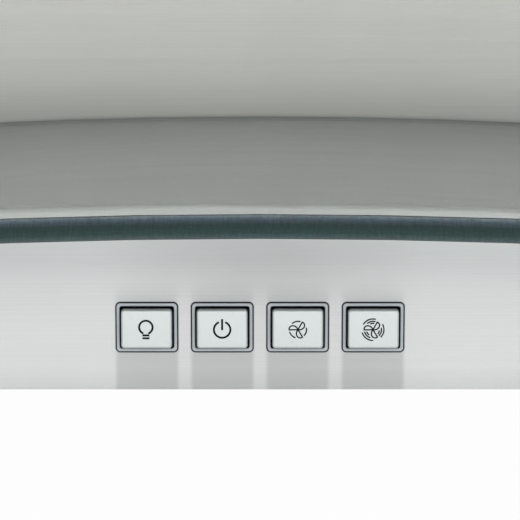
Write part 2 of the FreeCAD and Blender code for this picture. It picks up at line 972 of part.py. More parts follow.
def make_button_cap(number):
    """A hollow cap with a rim that keeps it in the frame, and a stem down to its switch."""
    body = new_body("button_" + BUTTON_NAMES[number])
    x = button_places[number]
    z = D.button_height
    front = panel_front - D.cap_proud
    pad(body, "XZ_Plane", front, rim_back, button_block(x, cap_width, cap_height))
    round_edges(body, D.cap_corner, lambda edge: along(edge, Y_AXIS))
    round_edges(body, D.cap_round, lambda edge: near(edge.BoundBox.YMax, front.value))
    rim_grow = D.cap_gap * 2 + D.cap_rim * 2
    rim = button_block(x, cap_width + rim_grow, cap_height + rim_grow)
    pad(body, "XZ_Plane", rim_front, rim_back, rim)
    walls = D.cap_wall * 2
    inner_face = front + D.cap_face
    hollow = button_block(x, cap_width - walls, cap_height - walls)
    pocket(body, "XZ_Plane", inner_face, rim_back + 1, hollow)
    pad(body, "XZ_Plane", inner_face - 0.1, rim_back, disc(x, z, D.post_radius))
    pad(body, "XZ_Plane", rim_back - 0.1, stem_end, disc(x, z, D.stem_radius))


def make_switches():
    """The board behind the buttons, with one push switch for each stem."""
    board = new_body("control_board")
    half = D.board_width / 2
    low = D.button_height - D.board_height / 2
    board_back = board_front + D.board_thickness
    pad(board, "XZ_Plane", board_front, board_back, block(-half, half, low, low + D.board_height))

    body = new_body("tact_switches")
    reach = D.switch_size / 2

    def bodies(s):
        for x in button_places:
            rectangle(s, x - reach, x + reach, D.button_height - reach, D.button_height + reach)

    def bores(s):
        for x in button_places:
            circle(s, x, D.button_height, D.stem_radius + D.bore_gap)

    pad(body, "XZ_Plane", switch_front, board_front, bodies)
    pocket(body, "XZ_Plane", switch_front - 1, board_front - D.bore_floor, bores)


def make_switch_housing():
    """An open moulded box behind the panel that carries the board, with an ear at each end."""
    body = new_body("switch_housing")
    half = D.housing_width / 2
    low = D.button_height - D.housing_height / 2
    high = low + D.housing_height
    front = panel_back
    back = front + D.housing_depth
    wall = D.housing_wall
    pad(body, "XZ_Plane", front, back, block(-half, half, low, high))
    inside = half - wall
    room = block(-inside, inside, low + wall, high - wall)
    pocket(body, "XZ_Plane", front - 1, back - wall, room)
    ear_half = D.ear_length / 2
    ear_back = front + D.ear_thickness
    ear_x = half + ear_half
    board_back = board_front + D.board_thickness
    overlap = 0.2

    def ears(s):
        for side in SIDES.values():
            edges = in_order((half - overlap) * side, (half + D.ear_length) * side)
            rectangle(s, *edges, D.button_height - ear_half, D.button_height + ear_half)

    def ear_holes(s):
        for side in SIDES.values():
            circle(s, ear_x * side, D.button_height, D.ear_hole_radius)

    def rests(s):
        for side in SIDES.values():
            edges = in_order((inside - D.rest_width) * side, (inside + overlap) * side)
            rectangle(s, *edges, low + wall - overlap, high - wall + overlap)

    pad(body, "XZ_Plane", front, ear_back, ears)
    pocket(body, "XZ_Plane", front - 1, ear_back + 1, ear_holes)
    pad(body, "XZ_Plane", board_back, back - wall + overlap, rests)

    screw = new_body("housing_screw", node=False)
    shank = D.ear_hole_radius - overlap
    head = D.ear_hole_radius * 1.8
    tip = overlap / 2 - D.ear_thickness
    corners = [(0, tip), (shank, tip), (shank, 0), (head, 0)]
    corners += [(head - D.screw_head / 3, D.screw_head), (0, D.screw_head)]
    revolve(screw, "XZ_Plane", "V_Axis", shape(corners))
    places = []
    for side in SIDES.values():
        base = Vector((ear_x * side).value, ear_back.value, D.button_height.value)
        places.append(Placement(base, Rotation(X_AXIS, -90)))
    group("housing_screws", screw, places)


# ---- the lamps ----


def lamp_places():
    places = []
    for side in SIDES.values():
        places.append(Placement(Vector(side * D.lamp_x.value, lamp_y.value, 0), Rotation()))
    return places


def make_lamps():
    """Two recessed lamps: a bezel under the pan, a lens in it and a finned body above."""
    bezel = new_body("bezel", node=False)
    tube_outer = D.lamp_hole_radius - D.sheet_gap
    tube_inner = D.lens_radius + D.sheet_gap
    rim_inner = D.lens_radius - D.lens_ledge
    tube_top = pan_top + D.rib_height
    rim = D.bezel_radius
    step = D.sheet
    corners = [(rim_inner, 0), (rim, 0), (rim, step), (tube_outer, step)]
    corners += [(tube_outer, tube_top), (tube_inner, tube_top)]
    corners += [(tube_inner, step), (rim_inner, step)]
    revolve(bezel, "XZ_Plane", "V_Axis", shape(corners))
    group("lamp_bezels", bezel, lamp_places())

    lens = new_body("lens", node=False)
    lens_top = D.sheet + D.lens_thickness
    pad(lens, "XY_Plane", D.sheet, lens_top, disc(0, 0, D.lens_radius))
    group("lamp_lenses", lens, lamp_places())

    can = new_body("lamp_can", node=False)
    core = D.lamp_core
    fin = D.lamp_height / (LAMP_FINS * 2)
    corners = [(0, lens_top), (D.lens_radius, lens_top)]
    for number in range(LAMP_FINS):
        fin_top = lens_top + fin * (number * 2 + 1)
        corners += [(D.lens_radius, fin_top), (core, fin_top)]
        if number < LAMP_FINS - 1:
            corners += [(core, fin_top + fin), (D.lens_radius, fin_top + fin)]
    corners += [(core, lens_top + D.lamp_height), (0, lens_top + D.lamp_height)]
    revolve(can, "XZ_Plane", "V_Axis", shape(corners))
    group("lamp_bodies", can, lamp_places())


# ---- the grease filters ----


def make_filter(name, side):
    """A channelled frame with a corrugated mesh, two rear tabs and a sprung latch."""
    frame = new_body("filter_frame_" + name)
    left, right = bay_edges(side)
    left = left + D.filter_side_gap
    right = right - D.filter_side_gap
    middle = (left + right) / 2
    front = bay_front + D.filter_end_gap
    rear = -(D.bay_rear + D.filter_end_gap)
    low = D.filter_base
    high = low + D.filter_thickness
    shell = D.filter_shell
    border = D.filter_border
    pad(frame, "XY_Plane", low, high, block(left, right, front, rear))
    window = block(left + border, right - border, front + border, rear - border)
    pocket(frame, "XY_Plane", low - 1, high + 1, window)
    reach = border - D.mesh_groove
    groove = block(left + reach, right - reach, front + reach, rear - reach)
    pocket(frame, "XY_Plane", low + shell, high - shell, groove)

    tray_half = D.latch_width / 2 + D.tray_margin
    tray_rear = front + border + D.tray_depth
    tray_front = front + reach
    tray = block(middle - tray_half, middle + tray_half, tray_front, tray_rear)
    pad(frame, "XY_Plane", low, high - shell, tray)
    room_half = tray_half - shell
    latch_low = D.pivot_height + D.latch_slot_gap
    latch_high = latch_low + D.latch_thickness
    room = block(middle - room_half, middle + room_half, front + border, tray_rear - shell)
    pocket(frame, "XY_Plane", low - 1, high - shell * 2, room)
    slot_half = D.latch_width / 2 + D.latch_slot_gap
    slot_low = latch_low - D.latch_slot_gap / 2
    slot_high = latch_high + D.latch_slot_gap
    slot = block(middle - slot_half, middle + slot_half, slot_low, slot_high)
    pocket(frame, "XZ_Plane", front - 1, front + border + 1, slot)

    tab_low = D.pivot_height + D.tab_gap

    tab_half = D.tab_width / 2
    tab_rear = -(D.bay_rear - D.tab_length)

    def tabs(s):
        for hand in SIDES.values():
            at = middle + D.tab_spacing / 2 * hand
            rectangle(s, at - tab_half, at + tab_half, rear - 2, tab_rear)

    pad(frame, "XY_Plane", tab_low, tab_low + D.filter_shell, tabs)

    mesh = new_body("filter_mesh_" + name)
    gap = D.mesh_gap
    mesh_low = low + shell + gap
    mesh_high = high - shell - gap
    pitch = (right - left - (reach + gap) * 2) / MESH_RIDGES
    mesh_left = left + reach + gap
    rise = D.mesh_sheet
    ridge_x = mesh_left + pitch / 2
    mesh_right = mesh_left + pitch
    corners = [(mesh_left, mesh_low), (ridge_x, mesh_high - rise), (mesh_right, mesh_low)]
    corners += [(mesh_right, mesh_low + rise), (ridge_x, mesh_high), (mesh_left, mesh_low + rise)]
    mesh_front = front + reach + gap
    mesh_rear = rear - reach - gap
    ridge = pad(mesh, "XZ_Plane", mesh_front, mesh_rear, shape(corners))
    row(mesh, ridge, "H_Axis", pitch * (MESH_RIDGES - 1), MESH_RIDGES)
    cut_half = tray_half + gap
    tray_room = block(middle - cut_half, middle + cut_half, mesh_front - 1, tray_rear + gap)
    pocket(mesh, "XY_Plane", low, high, tray_room)

    latch = new_body("filter_latch_" + name)
    latch_front = front - D.filter_end_gap - D.latch_reach
    latch_rear = latch_front + D.latch_length
    half = D.latch_width / 2
    tongue = block(middle - half, middle + half, latch_front, latch_rear)
    pad(latch, "XY_Plane", latch_low, latch_high, tongue)
    grip_rear = latch_rear - D.grip_inset
    grip_front = grip_rear - D.grip_thickness
    grip = block(middle - D.grip_half, middle + D.grip_half, grip_front, grip_rear)
    pad(latch, "XY_Plane", latch_low - D.grip_height, latch_low + 0.1, grip)

    spring = new_body("latch_spring_" + name)
    spring_front = latch_rear + 0.1
    spring_rear = tray_rear - shell - 0.1
    strip = D.spring_strip
    kink = (spring_front + spring_rear) / 2
    ends = middle - D.spring_reach
    corners = [(ends, spring_front), (ends + strip, spring_front), (middle + strip, kink)]
    corners += [(ends + strip, spring_rear), (ends, spring_rear), (middle, kink)]
    pad(spring, "XY_Plane", latch_low, latch_high, shape(corners))


# ---- the blower ----


def make_blower_box():
    """A sheet box over the deck's opening, open below, with a round outlet in its top."""
    body = new_body("blower_box")
    half = box_half
    front = box_front
    rear = -D.box_rear
    stand = deck_drop - 0.1
    foot = arch(stand, half)
    corners = [(-half, foot), (half, foot), (half, D.box_top), (-half, D.box_top)]
    pad(body, "XZ_Plane", front, rear, shape(corners, {0: (arch_radius(stand), -1)}))
    inner = half - D.sheet
    room = block(-inner, inner, 0, D.box_top - D.sheet)
    pocket(body, "XZ_Plane", front + D.sheet, rear - D.sheet, room)
    outlet = D.collar_radius - D.collar_wall - D.outlet_step
    pocket(body, "XY_Plane", D.box_top - D.sheet * 2, D.box_top + 1, disc(0, collar_y, outlet))

    def front_corner(edge):
        middle = edge.CenterOfMass
        return along(edge, Z_AXIS) and near(middle.y, front.value)

    round_edges(body, D.bend_radius, front_corner)


def scroll_outline(s, grow):
    """Three quarter arcs round a square of centres, then a straight outlet; grow is the wall."""
    half_step = D.scroll_step / 2
    left_y = blower_y - half_step
    right_y = blower_y + half_step
    low_z = D.blower_z - half_step
    high_z = D.blower_z + half_step
    first = D.scroll_start + grow
    second = first + D.scroll_step
    third = second + D.scroll_step
    top = D.box_top - D.sheet - D.scroll_gap
    tongue = low_z + root(first * first - grow * grow)
    corners = [(right_y + third, high_z), (right_y + third, top), (left_y - grow, top)]
    corners += [(left_y - grow, tongue), (left_y - first, low_z), (right_y, low_z - second)]
    outline(s, corners, {3: (first, 1), 4: (second, 1), 5: (third, 1)})


def make_scroll(name, side):
    """Half of the moulded scroll: a side wall with a lipped inlet, and half of the wrap."""
    body = new_body("scroll_" + name)
    outer = D.scroll_width / 2 * side
    inner = (D.scroll_width / 2 - D.scroll_wall) * side
    lip = (D.scroll_width / 2 + D.inlet_lip) * side
    lip_radius = D.inlet_radius + D.scroll_wall
    pad(body, "YZ_Plane", *in_order(0, outer), lambda s: scroll_outline(s, D.scroll_wall))
    room = in_order(-side, inner)
    pocket(body, "YZ_Plane", *room, lambda s: scroll_outline(s, size(0)))
    pad(body, "YZ_Plane", *in_order(inner, lip), disc(blower_y, D.blower_z, lip_radius))
    through = in_order(inner - side, lip + side)
    pocket(body, "YZ_Plane", *through, disc(blower_y, D.blower_z, D.inlet_radius))


def make_impeller():
    """A double-inlet wheel: a centre disc with its hub, curved blades and an end ring each side."""
    body = new_body("impeller")
    half = D.wheel_width / 2
    outer = D.wheel_radius
    inner = outer - D.blade_depth
    disc_half = D.wheel_sheet / 2
    hub_half = D.hub_length / 2
    pad(body, "YZ_Plane", -disc_half, disc_half, disc(0, 0, outer - 1))
    pad(body, "YZ_Plane", -hub_half, hub_half, disc(0, 0, D.hub_radius))
    pad(body, "YZ_Plane", half - D.wheel_sheet, half, ring(outer, inner))
    pad(body, "YZ_Plane", -half, -half + D.wheel_sheet, ring(outer, inner))
    thick = D.blade_thickness
    lean = D.blade_depth / 2
    foot = inner + D.blade_inset
    tip = outer - D.blade_inset * 2
    curve = D.blade_depth

    def blade(s):
        corners = [(0, foot), (thick, foot), (lean + thick, tip), (lean, tip)]
        outline(s, corners, {1: (curve, 1), 3: (curve, -1)})

    feature = pad(body, "YZ_Plane", -half + 1, half - 1, blade)
    polar(body, feature, BLADES)
    pocket(body, "YZ_Plane", -(hub_half + 1), hub_half + 1, disc(0, 0, D.shaft_radius))
    move(body, 0, blower_y, D.blower_z)

    shaft = doc.addObject("Part::Cylinder", "motor_shaft")
    shaft.Label = "motor_shaft"
    shaft_start = -(hub_half + 2)
    shaft_end = D.motor_start + D.motor_length - D.motor_wall - 1
    shaft.Radius = D.shaft_radius.value
    shaft.setExpression("Radius", D.shaft_radius.text)
    shaft.Height = (shaft_end - shaft_start).value
    shaft.setExpression("Height", (shaft_end - shaft_start).text)
    base = Vector(shaft_start.value, blower_y.value, D.blower_z.value)
    shaft.Placement = Placement(base, Rotation(Y_AXIS, 90))
    shaft.setExpression("Placement.Base.x", shaft_start.text)
    shaft.setExpression("Placement.Base.y", blower_y.text)
    shaft.setExpression("Placement.Base.z", D.blower_z.text)
    parts.append(shaft)


def make_motor():
    """A capped motor on the wheel's axis, with a blind bore for the shaft, and its bracket."""
    body = new_body("motor")
    start = D.motor_start
    end = start + D.motor_length
    bore = D.shaft_radius + D.shaft_clearance
    radius = D.motor_radius
    boss = D.motor_boss
    cap = D.motor_round
    blind = end - D.motor_wall
    nose = start - D.scroll_wall
    corners = [(nose, bore), (nose, boss), (start, boss), (start, radius - cap)]
    corners += [(start + cap, radius), (end - cap, radius), (end, radius - cap)]
    corners += [(end, 0), (blind, 0), (blind, bore)]
    revolve(body, "XZ_Plane", "H_Axis", shape(corners, {3: (cap, -1), 5: (cap, -1)}))
    move(body, 0, blower_y, D.blower_z)

    bracket = new_body("motor_bracket")
    plate = D.scroll_width / 2 + D.inlet_lip
    plate_end = plate + D.bracket_plate
    ring_inner = D.motor_radius
    ring_outer = D.motor_radius + D.bracket_ring
    rim_inner = D.inlet_radius - 1
    rim_outer = D.inlet_radius + D.scroll_wall
    arm_half = D.bracket_arm / 2
    clamp_start = end - cap - D.bracket_arm
    pad(bracket, "YZ_Plane", clamp_start, plate_end, ring(ring_outer, ring_inner))
    pad(bracket, "YZ_Plane", plate, plate_end, ring(rim_outer, rim_inner))
    arm = block(-arm_half, arm_half, ring_outer - 0.5, rim_inner + 0.5)
    polar(bracket, pad(bracket, "YZ_Plane", plate, plate_end, arm), MOTOR_ARMS)
    move(bracket, 0, blower_y, D.blower_z)


# ---- the duct collar and its damper ----


def make_collar():
    """A round collar for the duct, with a flange on the box and a seat for the damper flaps."""
    body = new_body("duct_collar")
    outer = D.collar_radius
    inner = outer - D.collar_wall
    flange = outer + D.collar_flange
    seat_top = D.damper_height - D.seat_gap
    seat_low = seat_top - D.collar_wall
    seat_inner = inner - D.seat_width
    thick = D.collar_wall
    top = D.collar_height
    corners = [(inner, 0), (flange, 0), (flange, thick), (outer, thick), (outer, top)]
    corners += [(inner, top), (inner, seat_top), (seat_inner, seat_top)]
    corners += [(seat_inner, seat_low), (inner, seat_low)]
    revolve(body, "XZ_Plane", "V_Axis", shape(corners))
    seat_hole = D.pin_radius + D.pin_clearance / 2
    reach = outer - D.collar_wall / 2
    pocket(body, "YZ_Plane", -reach, reach, disc(0, D.damper_height, seat_hole))
    move(body, 0, collar_y, D.box_top)

    pin = doc.addObject("Part::Cylinder", "damper_pin")
    pin.Label = "damper_pin"
    pin.Radius = D.pin_radius.value
    pin.setExpression("Radius", D.pin_radius.text)
    half = reach - 0.1
    pin.Height = (half * 2).value
    pin.setExpression("Height", (half * 2).text)
    pin_z = D.box_top + D.damper_height
    base = Vector(-half.value, collar_y.value, pin_z.value)
    pin.Placement = Placement(base, Rotation(Y_AXIS, 90))
    pin.setExpression("Placement.Base.x", (-half).text)
    pin.setExpression("Placement.Base.y", collar_y.text)
    pin.setExpression("Placement.Base.z", pin_z.text)
    parts.append(pin)


def make_flap(name, side):
    """A half disc with two knuckles on the damper's pin."""
    body = new_body("damper_flap_" + name)
    radius = D.collar_radius - D.collar_wall - D.damper_gap
    chord = D.flap_offset
    reach = root(radius * radius - chord * chord)
    low = D.damper_height - D.flap_thickness / 2
    high = low + D.flap_thickness
    corners = [(-reach, chord * side), (reach, chord * side), (0, radius * side)]
    pad(body, "XY_Plane", low, high, shape(corners, {1: (radius, side), 2: (radius, side)}))
    pitch = (D.collar_radius - D.collar_wall) * 2 / KNUCKLES
    length = pitch - D.knuckle_gap
    slots = [-3, 1] if side < 0 else [-2, 2]
    for slot in slots:
        start = pitch * slot
        edges = in_order(0, (chord + 0.2) * side)
        pad(body, "XY_Plane", low, high, block(start, start + length, *edges))
        pad(body, "YZ_Plane", start, start + length, disc(0, D.damper_height, D.knuckle_radius))
    bore = D.pin_radius + D.pin_clearance
    wide = D.collar_radius + 1
    pocket(body, "YZ_Plane", -wide, wide, disc(0, D.damper_height, bore))
    move(body, 0, collar_y, D.box_top)


# ---- the terminal box ----


def make_terminal_box():
    """A moulded box on the blower box's top, with a lid and a gland for the mains lead."""
    right = box_half - D.terminal_inset
    left = right - D.terminal_width
    front = box_front + D.terminal_inset
    rear = front + D.terminal_depth
    wall = D.terminal_wall
    high = D.box_top + D.terminal_height

    def inset_block(inset):
        return block(left + inset, right - inset, front + inset, rear - inset)

    body = new_body("terminal_box")
    pad(body, "XY_Plane", D.box_top, high, inset_block(0))
    pocket(body, "XY_Plane", D.box_top + wall, high + 1, inset_block(wall))

    lid = new_body("terminal_lid")
    pad(lid, "XY_Plane", high, high + wall, inset_block(0))
    pad(lid, "XY_Plane", high - wall, high + 0.1, inset_block(wall + D.terminal_gap))
    gland_x = (left + right) / 2
    gland_y = rear - D.gland_inset
    lid_hole = D.gland_body + D.terminal_gap
    pocket(lid, "XY_Plane", high - wall - 1, high + wall + 1, disc(gland_x, gland_y, lid_hole))

    gland = new_body("cable_gland")
    bore = D.gland_bore
    tube = D.gland_body
    nut = D.gland_nut
    top = D.gland_height
    foot = -wall * 3
    dome = nut - 1
    corners = [(bore, foot), (tube, foot), (tube, wall), (nut, wall), (nut, D.gland_hex)]
    corners += [(dome, D.gland_hex + 1), (dome, top - D.gland_taper), (tube, top), (bore, top)]
    revolve(gland, "XZ_Plane", "V_Axis", shape(corners))
    move(gland, gland_x, gland_y, high)


# ---- the flues ----


def flue_section(half, front, back):
    """Draws a sheet folded round three sides, with a narrow return along the wall at each."""
    t = D.sheet
    inner = half - t
    edge = half - D.flue_return
    corners = [(-half, back), (-half, front), (half, front), (half, back)]
    corners += [(edge, back), (edge, back - t), (inner, back - t), (inner, front + t)]
    corners += [(-inner, front + t), (-inner, back - t), (-edge, back - t), (-edge, back)]
    return shape(corners)


def round_flue(body, half, front):
    """Rounds the two folds of a flue, inside and out."""

    def upright(edge, x, y):
        middle = edge.CenterOfMass
        return along(edge, Z_AXIS) and near(middle.y, y.value) and near(abs(middle.x), x.value)

    def outer(edge):
        return upright(edge, half, front)

    def inner(edge):
        return upright(edge, half - D.sheet, front + D.sheet)

    round_edges(body, D.bend_radius, outer)
    round_edges(body, D.bend_radius - D.sheet, inner)


def make_lower_flue():
    """The lower flue stands on the deck inside the notch of the glass."""
    body = new_body("lower_flue")
    half = D.flue_width / 2
    front = -D.flue_depth
    pad(body, "XY_Plane", 0, D.lower_flue_top, flue_section(half, front, size(0)))
    round_flue(body, half, front)
    stand = deck_drop - 0.1
    pocket(body, "XZ_Plane", front - 5, 5, arched_block(-(half + 5), half + 5, stand, -5))


def make_upper_flue():
    """The upper flue slides in the lower one and has vent slots near its top."""
    body = new_body("upper_flue")
    pad(body, "XY_Plane", upper_base, upper_top, flue_section(upper_half, upper_front, upper_back))
    round_flue(body, upper_half, upper_front)
    slot_y = (upper_front + upper_back) / 2
    slot_half = D.vent_length / 2
    first = upper_top - D.vent_drop

    def slots(s):
        for number in range(VENT_SLOTS):
            base = first + D.vent_pitch * number
            rectangle(s, slot_y - slot_half, slot_y + slot_half, base, base + D.vent_height)

    wide = upper_half + 5
    pocket(body, "YZ_Plane", -wide, wide, slots)
    screw_hole = D.strap_screw_radius + 0.2
    pocket(body, "YZ_Plane", -wide, wide, disc(strap_screw_y, strap_middle, screw_hole))


def make_flue_bracket():
    """A joggled strap on the wall that the upper flue is screwed to, with the two screws."""
    body = new_body("flue_bracket")
    t = D.plate
    inner = upper_half - D.sheet
    web = upper_half - D.flue_return - D.strap_margin
    clear = strap_clear
    ear = clear - D.strap_ear
    corners = [(-web, 0), (web, 0), (web, clear), (inner, clear), (inner, ear), (inner - t, ear)]
    corners += [(inner - t, clear - t), (web - t, clear - t), (web - t, -t)]
    corners += [(-web + t, -t), (-web + t, clear - t), (-inner + t, clear - t), (-inner + t, ear)]
    corners += [(-inner, ear), (-inner, clear), (-web, clear)]
    pad(body, "XY_Plane", strap_low, strap_low + D.strap_height, shape(corners))

    def holes(s):
        for side in SIDES.values():
            circle(s, D.strap_hole_spacing / 2 * side, strap_middle, D.strap_hole_radius)

    pocket(body, "XZ_Plane", -t - 1, 1, holes)
    shank = D.strap_screw_radius
    thread_hole = shank + 0.05
    reach = inner + 1
    pocket(body, "YZ_Plane", -reach, reach, disc(strap_screw_y, strap_middle, thread_hole))

    screw = new_body("flue_screw", node=False)
    tip = -D.strap_screw_length
    corners = [(0, tip), (shank, tip), (shank, 0), (shank * 2, 0)]
    corners += [(shank * 1.6, shank), (0, shank)]
    revolve(screw, "XZ_Plane", "V_Axis", shape(corners))
    places = []
    for side in SIDES.values():
        base = Vector(side * upper_half.value, strap_screw_y.value, strap_middle.value)
        places.append(Placement(base, Rotation(Y_AXIS, 90 * side)))
    group("flue_screws", screw, places)


def make_flue_cleats():
    """A folded cleat each side that ties the lower flue to the blower box."""
    cleat = new_body("flue_cleats")
    near_edge = box_half
    far_edge = lower_inner
    t = D.plate
    leg = D.cleat_leg
    low = D.crest_height + D.cleat_rise
    middle = box_front / 2
    half = D.cleat_width / 2

    def section(s):
        for side in SIDES.values():
            a = near_edge * side
            b = far_edge * side
            step = t * side
            corners = [(a, low - leg), (a + step, low - leg), (a + step, low - t), (b, low - t)]
            corners += [(b, low + leg), (b - step, low + leg), (b - step, low), (a, low)]
            outline(s, corners)

    pad(cleat, "XZ_Plane", middle - half, middle + half, section)


# ---- the wall bracket ----


def make_wall_bracket():
    """A cleat rail on the wall, and the rail on the blower box that hooks over it."""
    half = D.bracket_hole_spacing / 2 + D.bracket_margin
    low = D.bracket_base
    t = D.plate
    shelf = low + D.bracket_height
    hook = -(t * 2 + D.hook_room)
    tip = shelf + D.hook_rise
    body = new_body("wall_bracket")
    corners = [(0, low), (0, shelf), (hook + t, shelf), (hook + t, tip)]
    corners += [(hook, tip), (hook, shelf - t), (-t, shelf - t), (-t, low)]
    pad(body, "YZ_Plane", -half, half, shape(corners))
    hole_z = low + D.bracket_hole_rise

    def holes(s):
        for side in SIDES.values():
            circle(s, D.bracket_hole_spacing / 2 * side, hole_z, D.bracket_hole_radius)

    pocket(body, "XZ_Plane", -t - 1, 1, holes)

    rail = new_body("box_rail")
    gap = D.hook_gap
    rear = -D.box_rear
    lip = hook + t + gap
    cap_low = tip + gap
    leg = cap_low + D.rail_leg
    corners = [(rear, cap_low), (lip, cap_low), (lip, shelf + gap), (lip + t, shelf + gap)]
    corners += [(lip + t, cap_low + t), (rear + t, cap_low + t), (rear + t, leg), (rear, leg)]
    rail_half = half - D.rail_inset
    pad(rail, "YZ_Plane", -rail_half, rail_half, shape(corners))


# ---- everything ----


def build():
    make_glass()
    make_glass_fixings()
    make_front_panel()
    for name, side in SIDES.items():
        make_end_panel(name, side)
    make_rear_panel()
    make_underside_pan()
    make_bay_bar()
    make_top_deck()
    for number in range(4):
        make_button_frame(number)
        make_button_cap(number)
    make_switches()
    make_switch_housing()
    make_lamps()
    for name, side in SIDES.items():
        make_filter(name, side)
    make_blower_box()
    for name, side in SIDES.items():
        make_scroll(name, side)
    make_impeller()
    make_motor()
    make_collar()
    make_flap("front", -1)
    make_flap("rear", 1)
    make_terminal_box()
    make_lower_flue()
    make_upper_flue()
    make_flue_bracket()
    make_flue_cleats()
    make_wall_bracket()


def check():
    doc.recompute()
    for item in doc.Objects:
        if "Invalid" in item.State or "Error" in item.State:
            raise RuntimeError("%s is %s" % (item.Label, item.State))
    for part in parts:
        shape = part.Shape
        if shape.isNull() or not shape.isValid() or not shape.Solids:
            raise RuntimeError("%s has no sound shape" % part.Label)


def write():
    os.makedirs("parts", exist_ok=True)
    for part in parts:
        part.Shape.exportStep("parts/%s.step" % part.Label)
        box = part.Shape.BoundBox
        corners = (box.XMin, box.YMin, box.ZMin, box.XMax, box.YMax, box.ZMax)
        volume = "%.1f mm3" % part.Shape.Volume
        place = "%.1f %.1f %.1f .. %.1f %.1f %.1f" % corners
        print(part.Label, len(part.Shape.Solids), volume, place)


build()
check()
write()
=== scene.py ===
"""Looks of the curved glass range hood: finishes, button icons, latch springs, studio light and camera."""

import json
import math

import bmesh
import bpy
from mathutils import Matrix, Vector


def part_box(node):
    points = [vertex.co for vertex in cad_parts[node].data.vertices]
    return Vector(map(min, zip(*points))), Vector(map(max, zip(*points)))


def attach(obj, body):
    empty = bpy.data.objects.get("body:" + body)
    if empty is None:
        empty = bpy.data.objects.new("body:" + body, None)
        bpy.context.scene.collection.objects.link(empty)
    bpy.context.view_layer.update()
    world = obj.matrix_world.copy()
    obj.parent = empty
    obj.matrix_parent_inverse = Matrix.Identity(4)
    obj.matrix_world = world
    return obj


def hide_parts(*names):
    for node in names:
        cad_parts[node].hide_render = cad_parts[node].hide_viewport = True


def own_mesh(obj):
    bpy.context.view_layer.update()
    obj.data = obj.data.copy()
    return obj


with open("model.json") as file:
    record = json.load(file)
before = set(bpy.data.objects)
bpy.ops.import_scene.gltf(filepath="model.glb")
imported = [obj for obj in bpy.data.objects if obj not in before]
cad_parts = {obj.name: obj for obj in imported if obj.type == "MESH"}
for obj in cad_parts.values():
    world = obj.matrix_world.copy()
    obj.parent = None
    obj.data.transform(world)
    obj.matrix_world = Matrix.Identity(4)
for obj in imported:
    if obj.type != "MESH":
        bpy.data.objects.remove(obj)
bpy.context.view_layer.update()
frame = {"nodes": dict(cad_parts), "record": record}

# Everything is in metres; sizes that are easier to read in millimetres are written times MM.
MM = 0.001
PANEL_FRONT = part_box("front_panel")[0][1]
CAP_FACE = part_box("button_light")[0][1]
BUTTON_PITCH = 25 * MM
BUTTON_ROW = BUTTON_PITCH * 4
BUTTON_HEIGHT = 21.6 * MM
FRAME_WIDTH = 20 * MM
FRAME_HEIGHT = 16.3 * MM
FRAME_CORNER = 1.2 * MM

# The arch of the glass: its under face is a cylinder along Y.
ARCH_RADIUS = 2.210
ARCH_CREST = 57.7 * MM
ARCH_CENTRE_Z = ARCH_CREST - ARCH_RADIUS
GLASS_THICKNESS = 8 * MM

# The camera of the photograph: on the middle plane of the hood, tilted down.
CAMERA_PLACE = (0, -1.3, 0.21061)
CAMERA_PITCH = 0.19637  # radians below the level
CAMERA_LENS = 178.89
SENSOR_WIDTH = 36


# ---------------------------------------------------------------- node materials


